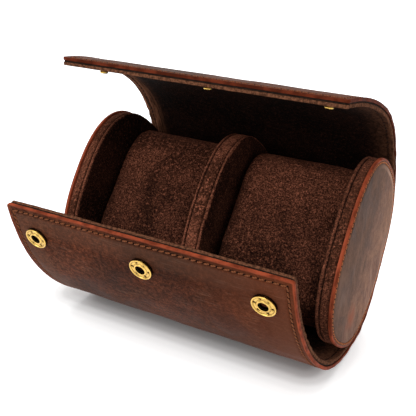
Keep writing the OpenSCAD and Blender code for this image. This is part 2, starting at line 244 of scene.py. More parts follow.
def graded(start, end, fine, coarse, reach):
    """Places from start to end, fine within reach of both ends and coarse between."""
    near = np.linspace(0, reach, int(round(reach / fine)) + 1)
    middle = end - start - 2 * reach
    far = np.linspace(0, middle, max(2, int(round(middle / coarse)) + 1))[1:-1]
    return np.concatenate([start + near, start + reach + far, (end - near)[::-1]])


# ---- meshes ----


def in_mm(length):
    """A setting's length in mm, rid of the small error that it is stored with."""
    return round(length / MM, 6)


def finished(name, points, faces, merge, smooth_angle=None, which=None):
    """A mesh object from points in mm and faces as index lists or arrays. Points
    closer than merge in metres become one, the faces turn outwards, edges sharper
    than an angle in degrees stay sharp, and which gives each face's material."""
    mesh = bpy.data.meshes.new(name)
    mesh.from_pydata((points * MM).tolist(), [], faces)
    if which is not None:
        mesh.polygons.foreach_set("material_index", np.array(which, np.int32))
    bm = bmesh.new()
    bm.from_mesh(mesh)
    bmesh.ops.remove_doubles(bm, verts=bm.verts, dist=merge)
    bmesh.ops.recalc_face_normals(bm, faces=bm.faces)
    bm.to_mesh(mesh)
    bm.free()
    mesh.polygons.foreach_set("use_smooth", np.ones(len(mesh.polygons), bool))
    if smooth_angle is not None:
        mesh.set_sharp_from_angle(angle=math.radians(smooth_angle))
    obj = bpy.data.objects.new(name, mesh)
    bpy.context.scene.collection.objects.link(obj)
    return obj


def write_mesh(name, points, faces, smooth_angle=40):
    """A mesh object whose touching points are merged and sharp edges kept."""
    return finished(name, points, faces, 1e-7, smooth_angle)


def joined(parts):
    """Several sets of points and faces as one, and the number of each face's set."""
    points, faces, which, first = [], [], [], 0
    for index, (p, f) in enumerate(parts):
        points.append(p)
        faces += [[v + first for v in face] for face in f]
        which += [index] * len(f)
        first += len(p)
    return np.concatenate(points), faces, which


def grid_faces(rows, columns):
    """Quads of a grid of points, row by row, closed from the last column to the
    first."""
    r = np.arange(rows - 1)[:, None]
    c = np.arange(columns)[None, :]
    a, b = r * columns + c, r * columns + (c + 1) % columns
    return np.stack([a, b, b + columns, a + columns], axis=-1).reshape(-1, 4).tolist()


def sleeve(rows, columns):
    """Faces of a closed body made of loops: the quads between the loops and one
    face over each end."""
    last = (rows - 1) * columns
    ends = [list(range(columns)), list(range(last, last + columns))]
    return grid_faces(rows, columns) + ends


def loops_mesh(name, body, smooth_angle=40):
    """A mesh object from loops of points, the first and last shrunk to a point."""
    rows, columns = body.shape[:2]
    return write_mesh(name, body.reshape(-1, 3), grid_faces(rows, columns), smooth_angle)


def note(obj, name, values):
    """Keeps a number for each vertex under a name that a material reads."""
    obj.data.attributes.new(name, "FLOAT", "POINT").data.foreach_set(
        "value", np.asarray(values, np.float32)
    )


def note_place(obj, values):
    """Keeps each vertex's place on the flat hide, which a material reads."""
    obj.data.attributes.new("flat_place", "FLOAT_VECTOR", "POINT").data.foreach_set(
        "vector", np.asarray(values * MM, np.float32).ravel()
    )


def vertices_mm(obj):
    """The places of a mesh's vertices in mm."""
    co = np.empty(len(obj.data.vertices) * 3, np.float32)
    obj.data.vertices.foreach_get("co", co)
    return co.reshape(-1, 3).astype(float) / MM


def faces_from_middle(obj):
    """How far each face's centre lies from the roll's middle, in mm."""
    co = np.empty(len(obj.data.polygons) * 3, np.float32)
    obj.data.polygons.foreach_get("center", co)
    return np.abs(co.reshape(-1, 3)[:, 0]) / MM


def give_second_material(obj, chosen):
    """Paints the chosen faces with a piece's second material."""
    obj.data.polygons.foreach_set("material_index", chosen.astype(np.int32))


def revolve(profile, x, station, segments, dents=None):
    """A turned piece on the wrap: a profile of radius and height goes round an
    axis that stands on the wrap's outer face. dents gives a depth for each
    radius, angle and height."""
    radius, height = (np.array(p, float)[:, None] for p in zip(*profile))
    angle = np.linspace(0, 2 * math.pi, segments, endpoint=False)[None, :]
    lift = height + (dents(radius, angle, height) if dents else 0 * angle)
    heading = float(np.interp(station, PATH_S, PATH_H))
    across = np.array([1.0, 0.0, 0.0])
    along = np.array([0.0, math.cos(heading), math.sin(heading)])
    out = np.array([0.0, math.sin(heading), -math.cos(heading)])
    points = (
        on_wrap(np.array(x), np.array(station), np.array(0.0))
        + (radius * np.cos(angle))[..., None] * across
        + (radius * np.sin(angle))[..., None] * along
        + lift[..., None] * out
    )
    return points.reshape(-1, 3), grid_faces(len(radius), segments)


# ---- materials ----

# a range in mm for ramps beside an edge
NEAR_RIM = (0.0, 10.0)
# how red and grey the clouds are, and how strong the mottle and specks
WRAP_LOOK = {
    "reds": ((0.38, 0.05), (0.64, 0.85)), "greys": ((0.44, 0.0), (0.76, 0.38)),
    "mottle": 0.85, "specks": 1.0,
}
CAP_LOOK = {
    "reds": ((0.5, 0.0), (0.8, 0.3)), "greys": ((0.3, 0.15), (0.66, 0.75)),
    "mottle": 0.3, "specks": 0.35,
}
# each set of scratches' turn in radians and warp
SCRATCHES = ((0.14, 0.33), (-0.2, 0.37), (0.6, 0.41))
CAP_SCRATCH_TURN = 0.9
# the rubbed spot on a cap's face, in metres
SPOT_Y, SPOT_Z, SPOT_REACH = -0.017, 0.0276, 0.0167


def toned(colour, by):
    """A colour with its channels multiplied by one number, or by one each."""
    return tuple(np.asarray(colour, float) * by)


class Shader:
    """Short names for building a node material."""

    def __init__(self, name):
        self.material = bpy.data.materials.new(name)
        self.material.use_nodes = True
        self.tree = self.material.node_tree
        self.bsdf = self.tree.nodes["Principled BSDF"]

    def node(self, kind, **settings):
        node = self.tree.nodes.new(kind)
        for key, value in settings.items():
            setattr(node, key, value)
        return node

    def link(self, source, target):
        self.tree.links.new(source, target)

    def put(self, value, socket):
        """Gives a socket a link, a colour or a number."""
        if isinstance(value, bpy.types.NodeSocket):
            self.link(value, socket)
        elif isinstance(value, (int, float)):
            socket.default_value = value
        else:
            socket.default_value = (*value[:3], 1.0)

    def place(self):
        return self.node("ShaderNodeTexCoord").outputs["Object"]

    def axes(self, vector):
        """A vector's three parts."""
        parts = self.node("ShaderNodeSeparateXYZ")
        self.link(vector, parts.inputs[0])
        return parts.outputs[0], parts.outputs[1], parts.outputs[2]

    def attribute(self, name, output="Fac"):
        return self.node("ShaderNodeAttribute", attribute_name=name).outputs[output]

    def scaled(self, vector, scale, turn=(0, 0, 0)):
        mapping = self.node("ShaderNodeMapping")
        mapping.inputs["Scale"].default_value = scale
        mapping.inputs["Rotation"].default_value = turn
        self.link(vector, mapping.inputs["Vector"])
        return mapping.outputs["Vector"]

    def noise(self, vector, scale, detail=3.0, rough=0.5, warp=0.0):
        noise = self.node("ShaderNodeTexNoise")
        noise.inputs["Scale"].default_value = scale
        noise.inputs["Detail"].default_value = detail
        noise.inputs["Roughness"].default_value = rough
        noise.inputs["Distortion"].default_value = warp
        self.link(vector, noise.inputs["Vector"])
        return noise.outputs["Fac"]

    def ramp(self, value, stops, over=(0.0, 1.0)):
        """Colours or greys at places along a value, which runs over a range."""
        low, high = over
        if over != (0.0, 1.0):
            value = self.maths("DIVIDE", self.maths("SUBTRACT", value, low), high - low)
        ramp = self.node("ShaderNodeValToRGB")
        ramp.color_ramp.interpolation = "EASE"
        elements = ramp.color_ramp.elements
        while len(elements) < len(stops):
            elements.new(0.5)
        for element, (place, colour) in zip(elements, stops):
            element.position = (place - low) / (high - low)
            if isinstance(colour, (int, float)):
                colour = (colour,) * 3
            element.color = (*colour[:3], 1.0)
        self.link(value, ramp.inputs["Fac"])
        return ramp.outputs["Color"]

    def mix(self, factor, a, b, blend="MIX"):
        mix = self.node("ShaderNodeMix", data_type="RGBA", blend_type=blend)
        for socket, value in ((0, factor), (6, a), (7, b)):
            self.put(value, mix.inputs[socket])
        return mix.outputs[2]

    def times(self, a, b):
        """Two colours multiplied."""
        return self.mix(1.0, a, b, "MULTIPLY")

    def maths(self, operation, a, b=0.0):
        maths = self.node("ShaderNodeMath", operation=operation)
        for socket, value in enumerate((a, b)):
            self.put(value, maths.inputs[socket])
        return maths.outputs[0]

    def distance(self, a, b):
        """The square root of a^2 + b^2."""
        squares = [self.maths("MULTIPLY", value, value) for value in (a, b)]
        return self.maths("SQRT", self.maths("ADD", *squares))

    def bump(self, height, strength, distance, under=None):
        bump = self.node("ShaderNodeBump")
        bump.inputs["Strength"].default_value = strength
        bump.inputs["Distance"].default_value = distance
        self.link(height, bump.inputs["Height"])
        if under is not None:
            self.link(under, bump.inputs["Normal"])
        return bump.outputs["Normal"]

    def set(self, **values):
        """Sets the surface's sockets, under shorter names."""
        names = {
            "colour": "Base Color", "rough": "Roughness", "metal": "Metallic",
            "specular": "Specular IOR Level", "sheen": "Sheen Weight",
            "sheen_rough": "Sheen Roughness", "sheen_tint": "Sheen Tint", "normal": "Normal",
        }
        for key, value in values.items():
            self.put(value, self.bsdf.inputs[names[key]])
        return self.material


def hide_ground(shade, place, patches, settings, look):
    """A dark ground with red and grey clouds, mottled and specked."""
    clouds = shade.noise(place, 22, 5, 0.55, 0.6)
    colour = shade.mix(
        shade.ramp(clouds, look["reds"]), settings.leather, settings.leather_red
    )
    colour = shade.mix(shade.ramp(patches, look["greys"]), colour, settings.leather_haze_and_sheen)
    mottle = shade.ramp(shade.noise(place, 420, 4, 0.6), ((0.3, 0.4), (0.7, 1.6)))
    colour = shade.mix(look["mottle"], colour, mottle, "MULTIPLY")
    specks = shade.ramp(
        shade.noise(place, 1150, 3, 0.75, 0.2), ((0.38, 0.62), (0.5, 0.98), (0.64, 1.6))
    )
    return shade.mix(look["specks"], colour, specks, "MULTIPLY")


def bend_haze_and_sheen(shade, axes, rim, colour, settings):
    """Grey beside the wrap's edges, where the leather bends: partly the wax's own haze, partly
    painted sheen; and a redder hide towards its right end."""
    # painted sheen, partly the wax's own haze: grey a few mm in from the edges, where the leather
    # bends to the light
    bend = shade.ramp(rim, ((3.6, 0.0), (6.0, 0.42), (12.0, 0.3), (19.0, 0.0)), (0.0, 20.0))
    colour = shade.mix(bend, colour, settings.leather_haze_and_sheen)
    right = shade.ramp(axes[0], ((0.01, 0.0), (0.085, 0.6)), (0.0, 0.1))
    return shade.mix(right, colour, toned(settings.leather_red, 1.35))


def scratched(shade, place, colour, settings, cap):
    """Fine light scratches in three directions, thinned out in patches."""
    streaks = None
    for turn, warp in SCRATCHES:
        turned = (turn + CAP_SCRATCH_TURN, 0, 0) if cap else (0, 0, turn)
        lines = shade.noise(shade.scaled(place, (60, 1200, 60), turned), 1.0, 2, 0.5, warp)
        lines = shade.ramp(lines, ((0.6, 0.0), (0.74, 1.0)))
        streaks = lines if streaks is None else shade.mix(1.0, streaks, lines, "SCREEN")
    sparse = shade.ramp(shade.noise(place, 60, 2), ((0.42, 0.1), (0.6, 1.0)))
    streaks = shade.maths("MULTIPLY", shade.times(streaks, sparse), 0.28)
    return shade.mix(streaks, colour, settings.scratch)


def cap_wear_and_painted_light(shade, place, axes, rim, colour, settings):
    """A cap's face: wear as upright grey and dark streaks and a rubbed orange spot near the bottom,
    with a painted highlight as a pale line along the back of its crown, and painted shading as a
    tone that falls off across the oval."""
    haze = settings.leather_haze_and_sheen
    streaks = shade.noise(shade.scaled(place, (1, 90, 26), (0.12, 0, 0)), 1.0, 4, 0.6, 0.9)
    pale = shade.ramp(streaks, ((0.5, 0.0), (0.72, 0.6)))
    dark = shade.ramp(streaks, ((0.3, 0.75), (0.47, 0.0)))
    colour = shade.mix(pale, colour, toned(haze, 1.2))
    colour = shade.mix(dark, colour, toned(haze, 0.22))
    # painted highlight: a pale line along the crown inside the seam, on the cap's back half, where
    # the bulge catches the light
    back = shade.ramp(axes[1], ((0.005, 0.0), (0.025, 1.0)), (0.0, 0.05))
    crown_highlight = shade.ramp(rim, ((3.3, 0.0), (4.0, 0.8), (5.0, 0.7), (6.0, 0.0)), NEAR_RIM)
    colour = shade.mix(shade.times(back, crown_highlight), colour, toned(haze, 1.7))
    # painted shading: the face much lighter towards one side of the oval than the other, as the
    # light falls across it
    lean = math.radians(OVAL_LEAN)
    across = shade.maths(
        "SUBTRACT", shade.maths("MULTIPLY", axes[2], math.cos(lean)),
        shade.maths("MULTIPLY", axes[1], math.sin(lean)),
    )
    across = shade.maths("SUBTRACT", across, AXIS_H * MM * math.cos(lean))
    across = shade.maths("ADD", across, shade.maths("MULTIPLY", streaks, 0.02))
    painted_shading = shade.ramp(
        across, ((-0.02, 2.8), (0.005, 2.4), (0.02, 1.4), (0.045, 1.2)), (-0.04, 0.06)
    )
    colour = shade.times(shade.times(colour, painted_shading), (1.1, 1.24, 1.3))
    from_spot = shade.distance(
        shade.maths("SUBTRACT", axes[1], SPOT_Y), shade.maths("SUBTRACT", axes[2], SPOT_Z)
    )
    ragged = shade.maths("MULTIPLY", shade.noise(place, 130, 3, 0.6), 0.8 * SPOT_REACH)
    spot = shade.ramp(
        shade.maths("ADD", from_spot, ragged),
        ((0.45 * SPOT_REACH, 0.9), (SPOT_REACH, 0.0)), (0.0, SPOT_REACH),
    )
    return shade.mix(spot, colour, toned(settings.burnish, (0.85, 1.25, 1.4)))


def burnished(shade, place, axes, rim, colour, burnish, cap):
    """The orange rubbed margin and cut edge. On the wrap both fade along the
    hide towards the cover, and the margin also towards the left."""
    margin = shade.ramp(rim, ((0.6, 1.0), (1.6, 0.0)), NEAR_RIM)
    rubbed = shade.mix(
        shade.ramp(shade.noise(place, 90, 4, 0.6), ((0.35, 0.0), (0.65, 1.0))),
        toned(burnish, 0.6), toned(burnish, 1.2),
    )
    edge = shade.mix(
        shade.ramp(shade.noise(place, 160, 3), ((0.35, 0.0), (0.65, 1.0))),
        burnish, toned(burnish, 0.45),
    )
    if cap:
        margin = shade.maths("MULTIPLY", margin, 0.85)
    else:
        right = shade.ramp(axes[0], ((-0.08, 0.4), (0.06, 0.95)), (-0.1, 0.1))
        front = shade.ramp(axes[1], ((0.15, 1.0), (0.3, 0.4)), (0.0, 0.5))
        margin = shade.times(shade.times(margin, right), front)
        edge = shade.times(edge, front)
    cut = shade.ramp(rim, ((0.15, 1.0), (0.7, 0.0)), NEAR_RIM)
    return shade.mix(cut, shade.mix(margin, colour, rubbed), edge)


def leather_material(name, settings, place_name=None, cap=False):
    """Waxed pull-up leather: a clouded, specked and scratched ground, painted shade in the seam
    grooves, burnished edges, small grain and creases. A cap's is greyer and calmer than the wrap's,
    and has its own wear and painted light."""
    shade = Shader(name)
    place = shade.attribute(place_name, "Vector") if place_name else shade.place()
    axes = shade.axes(place)
    rim = shade.attribute("rim")
    patches = shade.noise(shade.scaled(place, (1, 1, 1), (0.4, 0.7, 1.1)), 46, 5, 0.6, 0.8)
    colour = hide_ground(shade, place, patches, settings, CAP_LOOK if cap else WRAP_LOOK)
    if not cap:
        colour = bend_haze_and_sheen(shade, axes, rim, colour, settings)
    colour = scratched(shade, place, colour, settings, cap)
    if cap:
        colour = cap_wear_and_painted_light(shade, place, axes, rim, colour, settings)
    seam = in_mm(settings.cap_seam_inset if cap else settings.stitch_inset)
    # painted shade: a dark line in the seam's groove
    groove = shade.ramp(rim, (
        (seam - 0.9, 0.0), (seam - 0.5, 0.75), (seam + 0.5, 0.75), (seam + 0.9, 0.0),
    ), NEAR_RIM)
    colour = shade.mix(groove, colour, toned(settings.leather, 0.2))
    colour = burnished(shade, place, axes, rim, colour, settings.burnish, cap)
    grain = shade.bump(shade.noise(place, 900, 5, 0.65), 0.35, 0.00025)
    creases = shade.noise(place, 240, 4, 0.6, 0.5)
    return shade.set(
        colour=colour, rough=shade.ramp(patches, ((0.35, 0.42), (0.65, 0.56))),
        specular=0.015, normal=shade.bump(creases, 0.3, 0.0005, grain),
    )


def lining_edges(shade, place, axes, tufts, colour, edge):
    """The lining's margins: paler near a rim, partly its rubbed nap and partly painted light; much
    paler beyond the caps and brighter towards the flap's lip, both painted light falling in through
    the open sides; and a cut edge with raw fibres."""
    rim = shade.attribute("rim")
    # partly painted light, partly rubbed nap: the margin paler near a rim
    margin = shade.times(
        shade.ramp(rim, ((1.6, 0.9), (17.0, 0.0)), (0.0, 20.0)),
        shade.ramp(tufts, ((0.35, 0.25), (0.65, 1.0))),
    )
    colour = shade.mix(margin, colour, toned(edge, 0.45))
    # painted light: much paler beyond the caps, most on the left, where light falls in at the open
    # side
    beside = shade.maths("MAXIMUM", shade.maths("MULTIPLY", axes[0], -1.0),
                         shade.maths("SUBTRACT", axes[0], 0.009))
    beside = shade.ramp(beside, ((0.07, 0.0), (0.079, 0.55), (0.084, 1.0)), (0.0, 0.1))
    lines = shade.noise(shade.scaled(place, (900, 60, 60)), 1.0, 3, 0.6)
    beside = shade.times(beside, shade.ramp(lines, ((0.4, 0.1), (0.6, 1.0))))
    colour = shade.mix(beside, colour, toned(edge, 1.9))
    # painted light: brighter towards the flap's lip, lit through the open side
    colour = shade.times(colour, shade.ramp(axes[1], ((0.1, 2.4), (0.16, 1.0)), (0.0, 0.5)))
    raw = shade.mix(
        shade.ramp(shade.noise(place, 600, 4, 0.7), ((0.38, 0.0), (0.62, 1.0))),
        toned(edge, 0.3), edge,
    )
    return shade.mix(shade.ramp(rim, ((0.2, 1.0), (0.6, 0.0)), NEAR_RIM), colour, raw)


def suede_material(name, dark, light, place_name=None, sheen=0.25, edge=None,
                   ridge=False, top=False):
    """Brushed suede: short nap as fine noise in two sizes, brushed patches, a raised nap and a soft
    sheen. With ridge it has a paler crest, partly rubbed nap and partly painted highlight, and a
    dark seam of painted shade where the piece says so; with top it is paler the higher it lies,
    which is painted light; and edge is the colour of the lining's cut edges and of its paler
    margins, which are partly painted light."""
    shade = Shader(name)
    place = shade.attribute(place_name, "Vector") if place_name else shade.place()
    axes = shade.axes(place)
    patches = shade.noise(place, 30, 3, 0.5, 0.7)
    nap = shade.noise(place, 1250, 4, 0.8, 0.3)
    tufts = shade.noise(place, 560, 3, 0.65, 0.5)
    mid = tuple(a * 0.62 + b * 0.38 for a, b in zip(dark, light))
    colour = shade.mix(shade.ramp(patches, ((0.4, 0.0), (0.6, 1.0))), dark, mid)
    colour = shade.mix(shade.ramp(tufts, ((0.45, 0.0), (0.7, 0.9))), colour, light)
    if ridge:
        depth = ((0.38, 0.2), (0.5, 0.8), (0.63, 2.2))
    else:
        depth = ((0.39, 0.09), (0.5, 0.75), (0.62, 3.0))
    colour = shade.times(colour, shade.ramp(nap, depth))
    # painted light: a cushion paler the higher it lies, as the light falls on its top
    if top:
        colour = shade.times(colour, shade.ramp(
            axes[2], ((0.074, 0.78), (0.09, 1.2), (0.106, 1.6), (0.12, 1.8)), (0.0, 0.2)
        ))
    if ridge:
        # partly painted highlight, partly rubbed nap: a paler crest on the roll; painted shade: a
        # dark line in the seam's groove
        crest_wear_and_highlight = shade.times(
            shade.attribute("ridge"), shade.ramp(nap, ((0.4, 0.0), (0.62, 0.6)))
        )
        colour = shade.mix(crest_wear_and_highlight, colour, toned(light, 1.3))
        sewn = shade.maths("MULTIPLY", shade.attribute("sewn"), 0.65)
        colour = shade.mix(sewn, colour, toned(dark, 0.12))
    if edge is not None:
        colour = lining_edges(shade, place, axes, tufts, colour, edge)
    normal = shade.bump(tufts, 0.5, 0.0008, shade.bump(nap, 0.6, 0.0005))
    return shade.set(
        colour=colour, rough=0.96, specular=0.08, sheen=sheen, sheen_rough=0.4,
        sheen_tint=light, normal=normal,
    )


def board_material():
    """Bonded fibre board: nearly black, with short fibres."""
    shade = Shader("fibre_board")
    fibres = shade.noise(shade.scaled(shade.place(), (1, 6, 1)), 320, 4, 0.6)
    colour = shade.ramp(fibres, ((0.3, (0.006, 0.003, 0.002)), (0.75, (0.03, 0.016, 0.01))))
    return shade.set(
        colour=colour, rough=0.9, specular=0.1, normal=shade.bump(fibres, 0.3, 0.0003)
    )


def foam_material():
    """Dense foam: pale grey with small open cells."""
    shade = Shader("dense_foam")
    cells = shade.node("ShaderNodeTexVoronoi")
    cells.inputs["Scale"].default_value = 900
    shade.link(shade.place(), cells.inputs["Vector"])
    depth = cells.outputs["Distance"]
    colour = shade.ramp(depth, ((0.0, (0.16, 0.14, 0.12)), (0.6, (0.34, 0.31, 0.27))))
    return shade.set(
        colour=colour, rough=0.95, specular=0.1, normal=shade.bump(depth, 0.4, 0.0005)
    )


def thread_material(name, colour):
    """Waxed thread: a twist of bright and dark strands."""
    shade = Shader(name)
    twist = shade.node("ShaderNodeTexWave", bands_direction="DIAGONAL")
    twist.inputs["Scale"].default_value = 420
    twist.inputs["Distortion"].default_value = 1.5
    shade.link(shade.place(), twist.inputs["Vector"])
    strands = twist.outputs["Fac"]
    colour = shade.mix(
        shade.ramp(strands, ((0.2, 0.0), (0.8, 1.0))), toned(colour, 0.6), colour
    )
    return shade.set(
        colour=colour, rough=0.7, specular=0.1, normal=shade.bump(strands, 0.4, 0.0002)
    )


def hole_material():
    """Painted shade: the dark inside of a needle hole or of a seam's groove."""
    shade = Shader("deep_shadow")
    dust = shade.noise(shade.place(), 800, 2)
    colour = shade.ramp(dust, ((0.3, (0.002, 0.001, 0.001)), (0.8, (0.012, 0.006, 0.004))))
    return shade.set(colour=colour, rough=0.9, specular=0.05)


def brass_material(name, settings):
    """Antique brass: warm polished metal, scuffed, and browned in its hollows, which painted shade
    makes nearly black.
    """
    shade = Shader(name)
    place = shade.place()
    stain = shade.noise(place, 260, 4, 0.6, 0.5)
    colour = shade.mix(
        shade.ramp(stain, ((0.35, 0.0), (0.75, 0.55))), settings.brass,
        toned(settings.brass, 0.5),
    )
    # browned hollows made nearly black with painted shade, where the piece notes a hollow
    colour = shade.mix(shade.attribute("hollow"), colour, (0.012, 0.006, 0.002))
    scuffs = shade.noise(place, 1400, 3, 0.7)
    rough = shade.ramp(stain, ((0.3, 0.16), (0.75, 0.36)))
    return shade.set(
        colour=colour, metal=1.0, rough=rough, normal=shade.bump(scuffs, 0.12, 0.0001)
    )


def dark_brass_material():
    """Browned brass inside the snaps, nearly black."""
    shade = Shader("dark_brass")
    stain = shade.noise(shade.place(), 600, 3, 0.6)
    colour = shade.ramp(stain, ((0.3, (0.006, 0.004, 0.002)), (0.8, (0.03, 0.018, 0.007))))
    return shade.set(colour=colour, metal=1.0, rough=0.65)


# ---- settings ----


def colour_property(name, description, value):
    return FloatVectorProperty(
        name=name, description=description, default=value, size=3, min=0, max=1,
        subtype="COLOR",
    )


def length_property(name, description, mm, least, most):
    return FloatProperty(
        name=name, description=description, default=mm * MM, min=least * MM, max=most * MM,
        subtype="DISTANCE", precision=4,
    )


def angle_property(name, description, degrees, most):
    return FloatProperty(
        name=name, description=description, default=math.radians(degrees),
        min=-math.radians(most), max=math.radians(most), subtype="ANGLE",
    )


def power_property(name, description, watts):
    return FloatProperty(
        name=name, description=description, default=watts, min=0.1, max=50.0, subtype="POWER"
    )


class HideSettings(bpy.types.PropertyGroup):
    """Colours and seams of the leather and the suede"""

    leather: colour_property("Leather", "Ground colour of the leather", (0.044, 0.013, 0.006))
    leather_red: colour_property("Red clouds", "Redder patches", (0.118, 0.031, 0.0125))
    # the grey haze's colour: the wax's own haze, also used for painted sheen where the wrap bends
    # and for a painted highlight along a cap's crown
    leather_haze_and_sheen: colour_property("Grey haze", "Waxy haze where it bends", (0.155, 0.075, 0.048))
    scratch: colour_property("Scratches", "Fine light scratches", (0.3, 0.17, 0.12))
    burnish: colour_property("Burnish", "Cut edges of the leather", (0.43, 0.085, 0.036))
    suede_dark: colour_property("Suede, dark", "Nap brushed flat", (0.026, 0.0085, 0.0042))
    suede_light: colour_property("Suede, light", "Nap brushed up", (0.168, 0.056, 0.031))
    suede_edge: colour_property("Suede, edge", "Raw cut edge of the lining", (0.25, 0.1, 0.052))
    thread: colour_property("Thread", "Waxed thread", (0.29, 0.095, 0.037))
    stitch_pitch: length_property("Stitch pitch", "From one stitch to the next", 3.4, 2.0, 6.0)
    stitch_inset: length_property("Stitch inset", "Seams to the wrap's edges", 3.5, 2.0, 8.0)
    cap_seam_inset: length_property("Cap seam inset", "Caps' seam to the rim", 2.3, 1.5, 6.0)
    lip_taper: length_property(
        "Lip taper", "How much narrower each lip is at a side", 2.2, 0.0, 4.0
    )


class CushionSettings(bpy.types.PropertyGroup):
    """The cushions' stuffing and its cloth simulation"""

    shrink: length_property("Start smaller", "How far inside the stuffing starts", 0.5, 0.3, 5.0)
    voxel: length_property("Cloth cell", "Size of the cloth's cells", 4.0, 2.0, 8.0)
    swell: length_property("Swell", "Most that a point may swell", 1.5, 0.5, 8.0)
    pressure: FloatProperty(
        name="Pressure", description="Pressure of the stuffing", default=4.0, min=0.5, max=10.0
    )
    frames: IntProperty(
        name="Frames", description="Steps of the simulation", default=20, min=5, max=60
    )


class SnapSettings(bpy.types.PropertyGroup):
    """The snaps' brass and dents"""

    brass: colour_property("Brass", "Polished faces of the snaps", (0.72, 0.46, 0.12))
    dents: IntProperty(
        name="Dents", description="Dents round each socket", default=6, min=3, max=12
    )


class StageSettings(bpy.types.PropertyGroup):
    """The floor, the lamps and the camera"""

    floor: colour_property("Floor", "Plain pale floor", (0.9, 0.9, 0.9))
    lens: FloatProperty(
        name="Lens", description="Focal length", default=62.13, min=20.0, max=200.0,
        subtype="DISTANCE_CAMERA",
    )
    azimuth: angle_property("Azimuth", "Direction from which the camera looks", 29.11, 180)
    elevation: angle_property("Elevation", "Height from which the camera looks", 25.59, 80)
    key: power_property("Key light", "Power of the main soft box", 20.0)
    fill: power_property("Fill light", "Power of the fill soft box", 4.0)
    top: power_property("Top light", "Power of the soft box overhead", 13.0)


# ---- the wrap ----

# the layers' rounded edges, the lips' corners, and where the taper to a lip starts
BEVEL, CORNER, TAPER_FROM = 0.35, 1.6, 90.0
# steps of the grid beside the edges and elsewhere, and half the width they divide
FINE, COARSE, FINE_REACH = 0.55, 1.5, 7.0
FINE_ACROSS, NOMINAL_HALF = 0.5, 83.0
# further than any edge matters
FAR = 99.0
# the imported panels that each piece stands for: a piece holds one fold each
PIECE_PANELS = (
    ("front_lip",), ("front_middle",), ("front_lower", "back"),
    ("cover_lower",), ("cover_middle",), ("cover_lip",),
)
MOST_BEND_REACH = 22.0
# how far the threads' and holes' middles lie under the leather and the lining
THREAD_DEPTH, HOLE_DEPTH, INNER_THREAD_DEPTH = 0.34, 0.42, 0.28
BEAD_RINGS, BEAD_SIDES = 6, 8


def rounding(at, radius):
    """How far a rounded edge falls back at a distance from its end:
    r - sqrt(r^2 - (r - at)^2), and nothing further in than the radius."""
    near = np.clip(radius - at, 0, radius)
    return radius - np.sqrt(radius**2 - near**2)


def half_width(s, settings, short=0.0):
    """Half the wrap's width in mm at a distance s: full round the caps, tapered
    to the lips, and rounded at the corners."""
    to_lip = np.minimum(s, WRAP_LEN - s)
    taper = in_mm(settings.lip_taper) * np.clip(1 - to_lip / TAPER_FROM, 0, 1) ** 1.3
    return WRAP_W / 2 - short - taper - rounding(to_lip, CORNER)


def seam_dip(rim, inset, depth, width):
    """How far a face is pulled in beside a seam: a bell curve across the seam."""
    return depth * np.exp(-(((rim - inset) / width) ** 2))


def stations(s0, s1, bevel, lip0, lip1):
    """Distances of a strip's sections, with closer ones round a lip's edge."""
    s = graded(s0, s1, FINE, COARSE, FINE_REACH)
    ends = bevel * (1 - np.cos(np.radians([0, 30, 60])))
    if lip0:
        s = np.concatenate([s0 + ends, s[s > s0 + bevel + 0.05]])
    if lip1:
        s = np.concatenate([s[s < s1 - bevel - 0.05], s1 - ends[::-1]])
    return s[:, None]


def strip(name, s0, s1, top, bottom, short, settings, relief, edge_noise, seed):
    """A layer of the wrap between distances s0 and s1 and depths top and bottom:
    at each distance a rounded rectangle across the wrap, carried along its path.
    It runs over the outer face, down one side, back over the inner face and up
    the other. relief gives how far each face moves in, from x, s and the distance
    to the edge, and edge_noise how far the cut edge wanders."""
    lip0, lip1 = s0 <= 0, s1 >= WRAP_LEN
    bevel = min(BEVEL, 0.45 * (bottom - top))
    s = stations(s0, s1, bevel, lip0, lip1)
    pinch = np.maximum(
        rounding(s - s0, bevel) if lip0 else 0 * s, rounding(s1 - s, bevel) if lip1 else 0 * s
    )
    half = half_width(s, settings, short) + edge_noise * ripple(s, 0 * s, seed, 9.0)
    inner = half - bevel
    u = graded(-1.0, 1.0, FINE_ACROSS / NOMINAL_HALF, COARSE / NOMINAL_HALF,
               FINE_REACH / NOMINAL_HALF)[None, :]
    face = inner * u
    a = np.radians([22.5, 45, 67.5])[None, :]
    side = np.concatenate(
        [inner + bevel * np.sin(a), inner + bevel, inner + bevel, inner + bevel * np.cos(a)],
        axis=1,
    )
    x = np.concatenate([face, side, face[:, ::-1], -side], axis=1)
    t, b = top + pinch, bottom - pinch
    # just over 2, so that a thin lip's two rounded edges never meet
    round_off = np.minimum(bevel, (b - t) / 2.01)
    near, far = round_off * (1 - np.cos(a)), round_off * (1 - np.sin(a))
    depth = np.concatenate([
        t + 0 * face, t + near, t + round_off, b - round_off, b - far,
        b + 0 * face, b - near, b - round_off, t + round_off, t + far,
    ], axis=1)
    facing = np.concatenate([
        np.full(width, kind)
        for width, kind in zip((face.shape[1], side.shape[1]) * 2, (1, 0, -1, 0))
    ])[None, :]
    s = s + 0 * x
    to_lip = np.minimum(s if lip0 else FAR, WRAP_LEN - s if lip1 else FAR)
    rim = np.clip(np.minimum(half - np.abs(x), to_lip), 0, FAR)
    depth = depth + facing * relief(x, s, rim) * np.clip(rim / 1.2, 0, 1)
    wander = edge_noise * 0.8 * ripple(x, 0 * x, seed + 5, 11.0)
    along = np.clip(s + wander * np.clip(1 - to_lip / 3, 0, 1), 0, WRAP_LEN)
    points = on_wrap(x, along, depth)
    obj = write_mesh(name, points.reshape(-1, 3), sleeve(*x.shape))
    note(obj, "rim", np.where(facing != 0, rim, 0.0).ravel())
    note_place(obj, np.stack([x, s, depth], axis=-1).reshape(-1, 3))
    return obj


def splits():
    """Where the wrap's pieces part: at its lips and half way between two folds."""
    middles = [(a + b) / 2 for a, b in zip(FOLDS[:-1], FOLDS[1:])]
    return [0.0] + middles + [WRAP_LEN]


